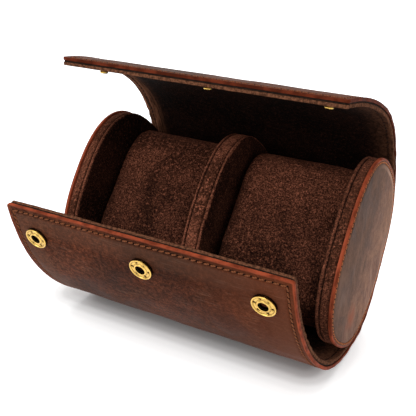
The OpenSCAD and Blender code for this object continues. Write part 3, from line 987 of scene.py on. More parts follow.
def bend_between(obj, i):
    """Bakes a piece's transform. It also works out how far the i-th fold may reach over the piece's
    two panels, and the wrap's middle at both ends of that reach, which nothing uses."""
    parts = splits()
    reach = min(MOST_BEND_REACH, FOLDS[i] - parts[i], parts[i + 1] - FOLDS[i]) * 0.95
    ends = [
        on_wrap(np.array(0.0), np.array(FOLDS[i] + k * reach), np.array(WRAP_T / 2)) * MM
        for k in (-1, 1)
    ]
    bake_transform(obj)


def stitch_rows(settings):
    """Seams of the wrap as arrays of x, s and the seam's direction on the flat
    hide: both sides and both lips, each stitch a pitch from the next."""
    inset, pitch = in_mm(settings.stitch_inset), in_mm(settings.stitch_pitch)
    count = int((WRAP_LEN - 2 * inset) / pitch)
    s = inset + (np.arange(count) + 0.5) * (WRAP_LEN - 2 * inset) / count
    x = half_width(s, settings) - inset
    rows = [(x, s, 0 * s + math.pi / 2), (-x, s, 0 * s + math.pi / 2)]
    for at in (inset, WRAP_LEN - inset):
        wide = float(half_width(np.array(at), settings)) - inset
        count = int(2 * wide / pitch)
        x = -wide + (np.arange(count) + 0.5) * 2 * wide / count
        rows.append((x, 0 * x + at, 0 * x))
    return tuple(np.concatenate(part) for part in zip(*rows))


def capsule(length, width, height):
    """A closed bead of rings and sides: a super-ellipsoid, long in its first
    direction, with blunt ends."""
    v = np.linspace(-math.pi / 2, math.pi / 2, BEAD_RINGS + 1)[:, None]
    w = np.linspace(0, 2 * math.pi, BEAD_SIDES, endpoint=False)[None, :]
    along = length / 2 * signed_pow(np.sin(v), 0.75) + 0 * w
    ring = signed_pow(np.cos(v), 0.6)
    return np.stack([along, width / 2 * ring * np.cos(w), height / 2 * ring * np.sin(w)], -1)


def beads(centres, forward, upward, size, slant, seed, droop=0.0):
    """Many capsules of one length, width and height in one set: each is turned to
    its seam's direction by two unit vectors, slanted in the face by some degrees,
    and varied a little. droop bends the ends of each down into the leather."""
    draw = np.random.default_rng(seed)
    shape = capsule(*size).reshape(-1, 3)
    k = len(centres)
    angle = np.radians(slant + draw.normal(0, 2.0, k))
    side = np.cross(upward, forward)
    f = forward * np.cos(angle)[:, None] + side * np.sin(angle)[:, None]
    g = -forward * np.sin(angle)[:, None] + side * np.cos(angle)[:, None]
    varied = 1 + draw.normal(0, 0.04, (k, 3))
    local = shape[None, :, :] * varied[:, None, :]
    sag = droop * (2 * shape[None, :, 0] / size[0]) ** 2
    points = (
        centres[:, None, :]
        + local[..., 0:1] * f[:, None, :]
        + local[..., 1:2] * g[:, None, :]
        + (local[..., 2:3] - sag[..., None]) * upward[:, None, :]
    )
    single = np.array(grid_faces(BEAD_RINGS + 1, BEAD_SIDES))
    faces = single[None] + (np.arange(k) * len(shape))[:, None, None]
    return points.reshape(-1, 3), faces.reshape(-1, 4).tolist()


def thread_piece(name, parts, materials):
    """One object from several sets of beads, each set with its own material; the
    beads' poles merge to single points."""
    points, faces, which = joined(parts)
    obj = finished(name, points, faces, 2e-6, which=which)
    for material in materials:
        obj.data.materials.append(material)
    return obj


def wrap_frame(x, s, depth, direction, inside=False):
    """Centres, forward and upward unit vectors for beads on the wrap."""
    heading = np.interp(s, PATH_S, PATH_H)
    zero = 0 * heading
    along = np.stack([zero, np.cos(heading), np.sin(heading)], -1)
    out = np.stack([zero, np.sin(heading), -np.cos(heading)], -1)
    across = np.stack([zero + 1, zero, zero], -1)
    forward = across * np.cos(direction)[:, None] + along * np.sin(direction)[:, None]
    return on_wrap(x, s, depth), forward, -out if inside else out


class WatchRollOperator:
    """What the steps share: each can be undone."""

    bl_options = {"REGISTER", "UNDO"}


class WATCHROLL_OT_wrap(WatchRollOperator, bpy.types.Operator):
    """Outer leather, board and suede lining of the wrap, in pieces that part half way between its
    folds
    """

    bl_idname = "watchroll.wrap"
    bl_label = "Wrap"

    def execute(self, context):
        hide = context.scene.watchroll_hide
        leather = leather_material("pull_up_leather", hide, "flat_place")
        lining = suede_material(
            "lining_suede", toned(hide.suede_dark, 0.16), toned(hide.suede_light, 0.15),
            place_name="flat_place", sheen=0.02, edge=tuple(hide.suede_edge),
        )
        board = board_material()
        inset = in_mm(hide.stitch_inset)

        def leather_relief(x, s, rim):
            """Seam grooves, rounded edges, slow waves and small dents."""
            return (
                seam_dip(rim, inset, 0.45, 0.95)
                + 0.45 * np.exp(-((rim / 2.0) ** 2))
                + 0.14 * (1 + ripple(x, s, 11, 38.0)) * np.clip(rim / 8, 0, 1)
                + 0.05 * (1 + ripple(x, s, 12, 9.0))
            )

        def lining_relief(x, s, rim):
            """Seam grooves, slow waves and small dents of the suede."""
            return (
                seam_dip(rim, inset, 0.5, 1.0)
                - 0.12 * ripple(x, s, 21, 14.0)
                + 0.1 * ripple(x, s, 22, 4.0)
            )

        def board_relief(x, s, rim):
            """A flat board."""
            return 0 * x

        board_at, lining_at = LEATHER_T, LEATHER_T + BOARD_T
        layers = (
            ("leather", 0.0, board_at, 0.0, leather_relief, 0.12, leather, "leather"),
            ("board", board_at, lining_at, 0.7, board_relief, 0.05, board, "board"),
            ("lining", lining_at, WRAP_T, 0.35, lining_relief, 0.3, lining, "suede"),
        )
        parts = splits()
        for layer, top, bottom, short, relief, edge_noise, material, slot in layers:
            for i, panels in enumerate(PIECE_PANELS):
                obj = strip(
                    f"wrap_{layer}_{i + 1}", parts[i], parts[i + 1], top, bottom, short,
                    hide, relief, edge_noise, 31 + 7 * len(layer),
                )
                obj.data.materials.append(material)
                bend_between(obj, i)
                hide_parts(*(f"{layer}_{panel}" for panel in panels))
        return {"FINISHED"}


class WATCHROLL_OT_wrap_stitches(WatchRollOperator, bpy.types.Operator):
    """Seams round the wrap: thread and needle holes on its leather and its lining"""

    bl_idname = "watchroll.wrap_stitches"
    bl_label = "Wrap Stitches"

    def execute(self, context):
        hide = context.scene.watchroll_hide
        thread = thread_material("waxed_thread", tuple(hide.thread))
        inner = thread_material("lining_thread", toned(hide.thread, 0.1))
        hole = hole_material()
        x, s, direction = stitch_rows(hide)
        pitch = in_mm(hide.stitch_pitch)
        gap_x = x + np.cos(direction) * pitch / 2
        gap_s = s + np.sin(direction) * pitch / 2
        parts = splits()
        for i in range(len(FOLDS)):
            here = (s >= parts[i]) & (s < parts[i + 1])
            way = direction[here]
            outer = wrap_frame(x[here], s[here], THREAD_DEPTH, way)
            holes = wrap_frame(gap_x[here], gap_s[here], HOLE_DEPTH, way)
            under = wrap_frame(x[here], s[here], WRAP_T - INNER_THREAD_DEPTH, way, True)
            obj = thread_piece(
                f"wrap_stitches_{i + 1}",
                [
                    beads(*outer, (pitch * 0.92, 1.02, 0.66), slant=13, seed=41, droop=0.14),
                    # needle holes: small beads in painted shade
                    beads(*holes, (0.62, 0.95, 0.44), slant=0, seed=43),
                    beads(*under, (pitch * 0.8, 0.8, 0.5), slant=-9, seed=42, droop=0.15),
                ],
                [thread, hole, inner],
            )
            bend_between(obj, i)
        return {"FINISHED"}


# ---- the end caps and the divider ----

# an oval's inset is exact to here, and this inset is its middle
NEAR_OUTLINE = 9.0
MIDDLE = 44.4


def oval_body(rings, count, centre=(0.0, AXIS_H)):
    """A closed body of loops, each an oval at an x and an inset from the outline.
    An inset past the near zone goes on by scaling towards the middle, and the
    first and last loops shrink to a point."""
    points = []
    for x, inset in rings:
        y, z = even_oval(count, min(inset, NEAR_OUTLINE))
        if inset > NEAR_OUTLINE:
            k = max(0.0, 1 - (inset - NEAR_OUTLINE) / (OVAL_SHORT / 2 - NEAR_OUTLINE))
            y, z = y * k, z * k
        points.append(np.stack([np.full(count, x), y + centre[0], z + centre[1]], -1))
    return np.stack(points)


def from_line(body, centre):
    """How far each point of a body lies from the line through its centre."""
    return np.hypot(body[..., 1] - centre[0], body[..., 2] - centre[1])


def push_out(body, centre, by):
    """Moves each point of a body away from the line through its centre."""
    out = body[..., 1:] - np.array(centre)
    share = by / np.maximum(from_line(body, centre), 1)
    body[..., 1:] = np.array(centre) + out * (1 + share[..., None])


def bell(x, middle, width):
    """A bell curve of height 1 round a middle."""
    return np.exp(-(((x - middle) / width) ** 2))


def outline_heading(y, z):
    """Unit vectors along a closed outline, each from its point's two neighbours."""
    forward = np.stack([0 * y, np.roll(y, -1) - np.roll(y, 1),
                        np.roll(z, -1) - np.roll(z, 1)], -1)
    return forward / np.linalg.norm(forward, axis=1)[:, None]


def groove_stitches(name, count, inset, centre, grooves):
    """Stitches in the grooves beside a rim's rolls, dark with the painted shade of the grooves,
    each groove given by its x and the seed of its stitches."""
    y, z = even_oval(count, inset)
    forward = outline_heading(y, z)
    upward = np.cross(forward, [1.0, 0.0, 0.0])
    upward *= np.sign((upward[:, 1:] * np.stack([y, z], -1)).sum(1))[:, None]
    parts = []
    for x, seed in grooves:
        centres = np.stack([np.full(count, x), y + centre[0], z + centre[1]], -1)
        parts.append(beads(centres, forward, upward, (1.5, 0.5, 0.4), slant=8, seed=seed))
    obj = thread_piece(name, parts, [hole_material()] * len(parts))
    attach(obj, "root")


class WATCHROLL_OT_end_caps(WatchRollOperator, bpy.types.Operator):
    """Leather faces, seams and suede rims of the two end caps"""

    bl_idname = "watchroll.end_caps"
    bl_label = "End Caps"

    def execute(self, context):
        hide = context.scene.watchroll_hide
        leather = leather_material("cap_leather", hide, cap=True)
        band = suede_material(
            "cap_suede", toned(hide.suede_dark, 2.4), toned(hide.suede_light, 1.7), ridge=True
        )
        dark = suede_material(
            "inner_suede", toned(hide.suede_dark, 0.4), toned(hide.suede_light, 0.45)
        )
        # painted light: the wrap's thread made 2.4 times brighter on the caps, against the shade of
        # the face's grazing view
        thread = thread_material("cap_thread", toned(hide.thread, 2.4))
        hole = hole_material()
        for side, sign in SIDES.items():
            self.leather_face(side, sign, hide, leather)
            self.seam(side, sign, hide, thread, hole)
            self.suede_rim(side, sign, band, dark)
        return {"FINISHED"}

    def leather_face(self, side, sign, hide, material):
        """The leather disc: a slightly crowned face, a groove under the seam, a
        rounded burnished rim and a flat back."""
        inset = in_mm(hide.cap_seam_inset)
        back = CAP_OUT - CAP_LEATHER_T
        rim_r, back_r, edge_drop = 0.9, 0.35, 0.12
        face = [
            (CAP_OUT - 0.5 * bell(d, inset, 1.0) - edge_drop * bell(d, 0.0, 1.6), d)
            for d in [MIDDLE, 38, 30, 22, 15, 10, 8, 6.5, 5.2, 4.2, 3.6, 3.2, 2.9, 2.6, 2.3,
                      2.0, 1.7, 1.4, 1.15, 0.95]
        ]
        rim = [(CAP_OUT - edge_drop - rim_r * (1 - math.sin(a)), rim_r * (1 - math.cos(a)))
               for a in np.radians([90, 72, 54, 36, 18, 0])]
        wall = [(CAP_OUT - 1.3, 0.0), (CAP_OUT - 1.5, 0.05)]
        low = [(back + back_r * (1 - math.sin(a)), back_r * (1 - math.cos(a)))
               for a in np.radians([0, 45, 90])]
        rings = face + rim + wall + low + [(back, 6.0), (back, 20.0), (back, MIDDLE)]
        body = oval_body(rings, 260)
        y, z = body[..., 1], body[..., 2]
        wave = 0.1 * ripple(y, z, 51, 30.0) + 0.03 * ripple(y, z, 52, 7.0)
        fade = np.array([min(1.0, d / 3) if x > back + 1.0 else 0.0 for x, d in rings])
        body[..., 0] -= np.abs(wave) * fade[:, None]
        body[..., 0] *= sign
        obj = loops_mesh(f"cap_face_{side}", body)
        self.note_rim(obj)
        obj.data.materials.append(material)
        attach(obj, "root")
        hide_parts(f"cap_leather_{side}")

    @staticmethod
    def note_rim(obj):
        """Distance of each point of the face from the caps' outline, from the
        oval's own power formula: the drop of its radius towards the middle. The
        rim's wall goes from cut edge in front to rubbed margin behind."""
        co = vertices_mm(obj)
        turn = math.radians(OVAL_LEAN)
        y, z = co[:, 1], co[:, 2] - AXIS_H
        u = y * math.cos(turn) + z * math.sin(turn)
        v = -y * math.sin(turn) + z * math.cos(turn)
        level = (
            np.abs(u / (OVAL_LONG / 2)) ** OVAL_POWER + np.abs(v / (OVAL_SHORT / 2)) ** OVAL_POWER
        ) ** (1 / OVAL_POWER)
        inset = np.clip((1 - level) * np.hypot(u, v) / np.maximum(level, 0.05), 0, 60)
        x = np.abs(co[:, 0])
        wall = 0.62 * np.clip((CAP_OUT - 0.9 - x) / 0.4, 0, 1)
        note(obj, "rim", np.where(x > CAP_OUT - 0.85, inset * np.clip(inset / 1.2, 0, 1), wall))

    @staticmethod
    def seam(side, sign, hide, thread, hole):
        """Stitches round the leather face, and the needle holes between them."""
        inset = in_mm(hide.cap_seam_inset)
        y, z = even_oval(2000, inset)
        length = np.hypot(np.diff(y, append=y[:1]), np.diff(z, append=z[:1])).sum()
        pitch = in_mm(hide.stitch_pitch) * 0.82
        count = 2 * int(length / pitch)
        y, z = even_oval(count, inset)
        forward = outline_heading(y, z)
        upward = np.tile([sign, 0.0, 0.0], (count, 1))
        centres = np.stack([np.full(count, sign * (CAP_OUT - 0.33)), y, z + AXIS_H], -1)
        on, off = slice(0, None, 2), slice(1, None, 2)
        obj = thread_piece(
            f"cap_stitches_{side}",
            [
                beads(centres[on], forward[on], upward[on], (pitch * 0.9, 1.0, 0.66),
                      slant=10 * sign, seed=61, droop=0.1),
                # needle holes: small beads in painted shade
                beads(centres[off], forward[off], upward[off], (0.7, 0.8, 0.3),
                      slant=0, seed=62),
            ],
            [thread, hole],
        )
        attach(obj, "root")

    @staticmethod
    def suede_rim(side, sign, band, dark):
        """The cap's suede: a band round the rim with a raised stitched roll at
        its inner edge, and a darker inner face. Its loops run from the back of
        the leather over the band and the roll to the middle of the inner face."""
        outer, inner, lip = CAP_OUT - CAP_LEATHER_T - 0.15, CAP_IN, CAP_LIP
        seam = inner + 2.6
        under = [(outer, MIDDLE), (outer, 20.0), (outer, 3.0)]
        shoulder = [(outer - 0.2, lip + 0.9), (outer - 0.9, lip + 0.35)]
        flat = [(x, lip + 0.2) for x in np.linspace(outer - 1.6, seam + 1.0, 5)]
        groove = [(seam + 0.5, lip + 0.45), (seam + 0.15, lip + 0.9), (seam, lip + 1.05),
                  (seam - 0.2, lip + 0.8)]
        roll = [(seam - 0.6, lip + 0.3), (seam - 1.1, lip + 0.05), (seam - 1.6, lip + 0.15),
                (seam - 2.1, lip + 0.6), (inner + 0.12, lip + 1.3), (inner, lip + 2.2),
                (inner + 0.1, lip + 3.2)]
        face = [(inner + 0.15, d) for d in (5.0, 8.0, 14.0, 22.0, 32.0, MIDDLE)]
        rings = under + shoulder + flat + groove + roll + face
        count = 320
        body = oval_body(rings, count)
        arc, x = np.arange(count)[None, :] * 1.0, body[..., 0]
        fuzz = 0.07 * ripple(arc, x, 71, 3.0) + 0.06 * ripple(arc, x, 72, 9.0)
        band_from, band_to = len(under) + 1, len(rings) - len(face)
        fuzz[:band_from] = 0.0
        fuzz[band_to:] = 0.0
        push_out(body, (0.0, AXIS_H), fuzz)
        body[..., 0] *= sign
        obj = loops_mesh(f"cap_rim_{side}", body, 60)
        across = np.abs(vertices_mm(obj)[:, 0])
        note(obj, "ridge", bell(across, seam - 1.0, 0.55))
        note(obj, "sewn", bell(across, seam, 0.45))
        obj.data.materials.append(band)
        obj.data.materials.append(dark)
        give_second_material(obj, faces_from_middle(obj) < CAP_IN + 0.4)
        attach(obj, "root")
        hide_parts(f"cap_band_{side}", f"cap_suede_{side}")
        groove_stitches(
            f"cap_rim_stitches_{side}", 150, CAP_LIP + 0.75, (0.0, AXIS_H), [(sign * seam, 81)]
        )


class WATCHROLL_OT_divider(WatchRollOperator, bpy.types.Operator):
    """Suede divider between the two bays, with a stitched roll at both edges"""

    bl_idname = "watchroll.divider"
    bl_label = "Divider"

    def execute(self, context):
        hide = context.scene.watchroll_hide
        suede = suede_material(
            "divider_suede", toned(hide.suede_dark, 2.4), toned(hide.suede_light, 2.5),
            ridge=True,
        )
        dark = suede_material(
            "divider_side_suede", toned(hide.suede_dark, 0.6), toned(hide.suede_light, 0.6)
        )
        half = DIVIDER_T / 2
        seam = half - 2.2
        base = DIVIDER_INSET
        flat = [(half - 0.1, d) for d in (MIDDLE, 30.0, 18.0, 11.0)]
        roll = [(half - 0.15, base + 4.0), (half, base + 2.2), (half - 0.15, base + 1.2),
                (half - 0.6, base + 0.5), (half - 1.2, base + 0.1), (half - 1.6, base + 0.2)]
        groove = [(seam + 0.25, base + 0.6), (seam, base + 0.95), (seam - 0.25, base + 0.7),
                  (seam - 0.8, base + 0.3), (seam - 1.8, base + 0.15), (0.6, base + 0.1)]
        side = flat + roll + groove
        rings = side + [(-x, d) for x, d in reversed(side)]
        back = math.radians(DIVIDER_BACK)
        centre = (base * math.cos(back), AXIS_H + base * math.sin(back))
        count = 300
        body = oval_body(rings, count, centre)
        arc, x = np.arange(count)[None, :] * 1.0, body[..., 0]
        fuzz = 0.08 * ripple(arc, x, 91, 3.0) + 0.1 * ripple(arc, x, 92, 11.0)
        lean = 0.25 * ripple(arc, 0 * x, 93, 40.0)
        rim = np.clip((from_line(body, centre) - 36) / 6, 0, 1)
        push_out(body, centre, rim * fuzz)
        body[..., 0] += lean * rim
        obj = loops_mesh("divider_cover", body, 60)
        across = np.abs(vertices_mm(obj)[:, 0])
        note(obj, "ridge", bell(across, half - 0.95, 0.5))
        note(obj, "sewn", bell(across, seam, 0.45))
        obj.data.materials.append(suede)
        obj.data.materials.append(dark)
        give_second_material(obj, faces_from_middle(obj) > half - 0.35)
        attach(obj, "root")
        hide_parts("divider_band", "divider_suede_left", "divider_suede_right")
        groove_stitches("divider_stitches", 140, base + 0.7, centre, [(-seam, 82), (seam, 84)])
        return {"FINISHED"}


# ---- the cushions ----


class WATCHROLL_OT_cushions(WatchRollOperator, bpy.types.Operator):
    """Two stuffed suede cushions, swollen by a cloth simulation"""

    bl_idname = "watchroll.cushions"
    bl_label = "Cushions"

    def execute(self, context):
        hide = context.scene.watchroll_hide
        cushion = context.scene.watchroll_cushion
        suede = suede_material(
            "cushion_suede", toned(hide.suede_dark, 1.3), toned(hide.suede_light, 1.15),
            top=True,
        )
        for seed, side in enumerate(SIDES):
            low, high = (np.array(v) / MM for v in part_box(f"cushion_cover_{side}"))
            obj = self.stuffing(side, low, high, cushion)
            self.swell(obj, cushion)
            self.nap(obj, low, high, 101 + seed)
            obj.data.materials.append(suede)
            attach(obj, f"cushion_{side}")
            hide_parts(f"cushion_cover_{side}", f"cushion_foam_{side}")
        return {"FINISHED"}

    @staticmethod
    def stuffing(side, low, high, cushion):
        """The cushion before it swells: an oval section whose edges round off
        towards both ends along a quarter circle."""
        shrink = in_mm(cushion.shrink)
        half = (high[0] - low[0]) / 2 - shrink * 0.35
        middle = (high[0] + low[0]) / 2
        end_r = 2.8
        ends = [(half - end_r + end_r * math.sin(a), shrink + end_r * (1 - math.cos(a)))
                for a in np.radians(np.linspace(0, 90, 9))]
        ends += [(half, d) for d in (14.0, 20.0, 29.9)]
        rings = [(-x, d) for x, d in reversed(ends)]
        rings += [(x, shrink) for x in np.linspace(end_r - half, half - end_r, 14)[1:-1]]
        rings += ends
        count = 96
        points = []
        lean = math.radians(CUSHION_LEAN)
        centre_y = CUSHION_UP * math.cos(lean) - CUSHION_OUT * math.sin(lean)
        centre_z = CUSHION_UP * math.sin(lean) + CUSHION_OUT * math.cos(lean) + AXIS_H
        for x, inset in rings:
            near = min(inset, NEAR_OUTLINE)
            y, z = even_oval(count, near, CUSHION_LONG, CUSHION_SHORT, CUSHION_LEAN, CUSHION_POWER)
            k = max(0.0, 1 - (inset - near) / (CUSHION_SHORT / 2 - near))
            points.append(np.stack(
                [np.full(count, middle + x), y * k + centre_y, z * k + centre_z], -1
            ))
        obj = loops_mesh(f"cushion_{side}", np.stack(points), 80)
        remesh = obj.modifiers.new("cells", "REMESH")
        remesh.mode = "VOXEL"
        remesh.voxel_size = cushion.voxel
        remesh.use_smooth_shade = True
        bake_modifiers(obj)
        return obj

    @staticmethod
    def swell(obj, cushion):
        """Blows the cloth up from inside, and caps how far each point moves."""
        scene = bpy.context.scene
        rest = vertices_mm(obj)
        cloth = obj.modifiers.new("stuffing", "CLOTH")
        cloth.settings.use_pressure = True
        cloth.settings.uniform_pressure_force = cushion.pressure
        cloth.settings.effector_weights.gravity = 0
        cloth.settings.quality = 6
        cloth.point_cache.frame_start, cloth.point_cache.frame_end = 1, cushion.frames
        for step in range(1, cushion.frames + 1):
            scene.frame_set(step)
        bake_modifiers(obj)
        scene.frame_set(1)
        move = vertices_mm(obj) - rest
        size = np.linalg.norm(move, axis=1, keepdims=True)
        capped = rest + move * np.minimum(1, in_mm(cushion.swell) / np.maximum(size, 1e-6))
        obj.data.vertices.foreach_set("co", (capped * MM).astype(np.float32).ravel())

    @staticmethod
    def nap(obj, low, high, seed):
        """Rounds the cells off with one subdivision, adds slow dents, and keeps
        the cushion inside its place."""
        smooth = obj.modifiers.new("cells_smoothed", "SMOOTH")
        smooth.factor, smooth.iterations = 0.5, 2
        finer = obj.modifiers.new("finer", "SUBSURF")
        finer.levels = finer.render_levels = 1
        bake_modifiers(obj)
        co = vertices_mm(obj)
        normal = np.empty(len(co) * 3, np.float32)
        obj.data.vertices.foreach_get("normal", normal)
        dent = 0.25 * ripple(co[:, 0], co[:, 2], seed, 26.0) + 0.08 * ripple(
            co[:, 0] + co[:, 1], co[:, 2], seed + 50, 6.0
        )
        co = co + normal.reshape(-1, 3) * dent[:, None]
        least, most = co.min(0), co.max(0)
        co = low + 0.1 + (co - least) / (most - least) * (high - low - 0.2)
        obj.data.vertices.foreach_set("co", (co * MM).astype(np.float32).ravel())
        obj.data.polygons.foreach_set("use_smooth", np.ones(len(obj.data.polygons), bool))
        obj.data.update()


def bake_modifiers(obj):
    """Leaves the mesh as its modifiers make it, and takes them off."""
    bpy.context.view_layer.update()
    graph = bpy.context.evaluated_depsgraph_get()
    mesh = bpy.data.meshes.new_from_object(obj.evaluated_get(graph))
    old, obj.data = obj.data, mesh
    mesh.name = obj.name
    obj.modifiers.clear()
    bpy.data.meshes.remove(old)


# ---- the snaps ----


def snap_row(name, profile, station, segments, dents=None):
    """The same turned piece at each snap's place on the wrap, in one mesh."""
    points, faces, _ = joined([revolve(profile, x, station, segments, dents) for x in SNAP_X])
    return write_mesh(name, points, faces, 45)


class WATCHROLL_OT_sockets(WatchRollOperator, bpy.types.Operator):
    """Three brass snap sockets on the flap, dished, dented and bored"""

    bl_idname = "watchroll.sockets"
    bl_label = "Snap Sockets"

    def execute(self, context):
        snap = context.scene.watchroll_snap
        mouth, outer, high = SOCKET_BORE / 2, SOCKET_D / 2, SOCKET_H
        dish = high - 0.55
        dent_at = (outer - 0.8 + mouth + 1.1) / 2

        def dents(radius, angle, height):
            """Round pits, evenly spaced on the dished face."""
            step = 2 * math.pi / snap.dents
            local = (angle + 0.35) % step - step / 2
            from_pit = np.hypot(radius * np.sin(local), radius * np.cos(local) - dent_at)
            pit = np.exp(-((from_pit / 0.72) ** 4))
            on_face = (height > dish - 0.1) & (radius > mouth + 0.9) & (radius < outer - 0.5)
            return -0.9 * pit * on_face

        inner_ring = [
            (mouth, 0.3), (mouth, high - 0.2), (mouth + 0.08, high - 0.05), (mouth + 0.25, high),
            (mouth + 0.55, high - 0.02), (mouth + 0.8, high - 0.2), (mouth + 0.95, dish + 0.08),
            (mouth + 1.1, dish),
        ]
        dished = [(r, dish) for r in np.linspace(mouth + 1.2, outer - 1.0, 14)]
        outer_ring = [
            (outer - 0.9, dish + 0.05), (outer - 0.75, high - 0.2), (outer - 0.6, high - 0.03),
            (outer - 0.42, high), (outer - 0.2, high - 0.08), (outer - 0.05, high - 0.25),
            (outer, high - 0.5), (outer, high - 0.75), (outer - 0.18, high - 0.95),
        ]
        foot = [
            (outer - 0.18, 0.7), (outer - 0.02, 0.45), (outer - 0.05, 0.0), (outer - 0.6, -0.05),
            (mouth + 0.4, -0.05), (mouth, 0.0), (mouth, 0.3),
        ]
        profile = inner_ring + dished + outer_ring + foot
        obj = snap_row("snap_sockets_detailed", profile, SOCKET_IN, 96, dents)
        self.note_hollow(obj, outer, dish)
        obj.data.materials.append(brass_material("antique_brass", snap))
        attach(obj, "front_lip")
        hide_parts("snap_sockets")
        return {"FINISHED"}

    @staticmethod
    def note_hollow(obj, outer, dish):
        """How dark each point is: browned, with painted shade, in its pits and the corners of its
        dish, and painted shade inside its mouth."""
        heading = float(np.interp(SOCKET_IN, PATH_S, PATH_H))
        centre = on_wrap(np.array(0.0), np.array(SOCKET_IN), np.array(0.0))
        co = vertices_mm(obj)
        y, z = co[:, 1] - centre[1], co[:, 2] - centre[2]
        height = y * math.sin(heading) - z * math.cos(heading)
        along = y * math.cos(heading) + z * math.sin(heading)
        across = np.abs(co[:, :1] - np.array(SNAP_X)).min(1)
        radius = np.hypot(across, along)
        bore = SOCKET_BORE / 2
        pits = np.clip((dish - 0.1 - height) / 0.35, 0, 1)
        corners = 0.55 * bell(radius, outer - 1.0, 0.3) + 0.5 * bell(radius, bore + 1.15, 0.3)
        mouth = (radius < bore + 0.04) & (height < SOCKET_H - 0.1)
        browned_and_shaded = np.maximum(pits, corners * (height < dish + 0.3)) + mouth
        note(obj, "hollow", np.clip(browned_and_shaded, 0, 1))


class WATCHROLL_OT_studs(WatchRollOperator, bpy.types.Operator):
    """Three brass studs under the cover, each a collar with a waisted head"""

    bl_idname = "watchroll.studs"
    bl_label = "Snap Studs"

    def execute(self, context):
        snap = context.scene.watchroll_snap
        head, collar, low = STUD_D / 2, COLLAR_D / 2, COLLAR_H
        waist = head - 0.35
        top = low + STUD_H
        profile = [
            (0.0, -0.05), (collar - 0.4, -0.05), (collar, 0.05), (collar, 0.3),
            (collar - 0.12, 0.5), (collar - 0.4, 0.68), (collar - 0.8, low),
            (head + 0.3, low - 0.05), (waist + 0.15, low + 0.05), (waist, low + 0.25),
            (waist, low + STUD_H / 3), (waist + 0.15, low + STUD_H * 0.5),
            (head - 0.04, low + STUD_H * 0.6), (head, low + STUD_H * 0.7),
            (head - 0.06, low + STUD_H * 0.82), (waist, top - 0.16), (waist - 0.35, top - 0.03),
            (waist - 0.8, top), (0.0, top),
        ]
        flipped = [(r, -WRAP_T - h) for r, h in profile]
        obj = snap_row("snap_studs_detailed", flipped, WRAP_LEN - STUD_IN, 64)
        note(obj, "hollow", np.zeros(len(obj.data.vertices)))
        obj.data.materials.append(brass_material("stud_brass", snap))
        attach(obj, "cover_lip")
        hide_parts("snap_studs")
        return {"FINISHED"}


class WATCHROLL_OT_inner_parts(WatchRollOperator, bpy.types.Operator):
    """Materials of the boards, foams, springs, eyelets and posts inside"""

    bl_idname = "watchroll.inner_parts"
    bl_label = "Inner Parts"

    def execute(self, context):
        board, foam = board_material(), foam_material()
        brass = dark_brass_material()
        for name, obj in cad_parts.items():
            if "board" in name:
                material = board
            elif "foam" in name:
                material = foam
            elif name.startswith("snap_"):
                material = brass
            else:
                continue
            obj.data.materials.clear()
            obj.data.materials.append(material)
        return {"FINISHED"}


# ---- the stage ----

# sizes and places in metres; the soft boxes' last entry is their power's setting
FLOOR_REACH, FLOOR_T, FLOOR_DROP = 3.0, 0.01, 2e-5
# the floor's painted contact shadow: a rectangle under the roll, and the glow's stops by distance
# from it
SHADE_X, SHADE_X_REACH = -0.0125, 0.0785
SHADE_Y, SHADE_Y_REACH = -0.023, 0.011
SHADE_STOPS = (
    (0.002, 0.0), (0.008, 0.09), (0.014, 0.31), (0.02, 0.53), (0.026, 0.64), (0.04, 0.95),
)
SOFT_BOXES = (
    ("key_light", (-0.7, -1.8, 1.5), 1.4, "key"),
    ("fill_light", (2.0, -0.9, 1.2), 1.4, "fill"),
    ("top_light", (-0.05, -0.5, 2.3), 1.0, "top"),
)
LAMPS_AIM = (0.0, 0.0, 0.07)
SURROUND_LIGHT, SURROUND_SEEN = 0.36, 1.0
CAMERA_AT = (0.1762, -0.3413, 0.2512)
FILM_WIDTH = 36.0
SEEN_RAYS = ("Is Camera Ray", "Is Glossy Ray", "Is Transmission Ray")


def turned_to(place, direction):
    """A lamp's or a camera's matrix at a place, looking along a direction."""
    turn = Vector(direction).to_track_quat("-Z", "Y").to_matrix().to_4x4()
    return Matrix.Translation(place) @ turn


def add_object(name, data):
    """A new object of lamp or camera data in the scene."""
    obj = bpy.data.objects.new(name, data)
    bpy.context.scene.collection.objects.link(obj)
    return obj


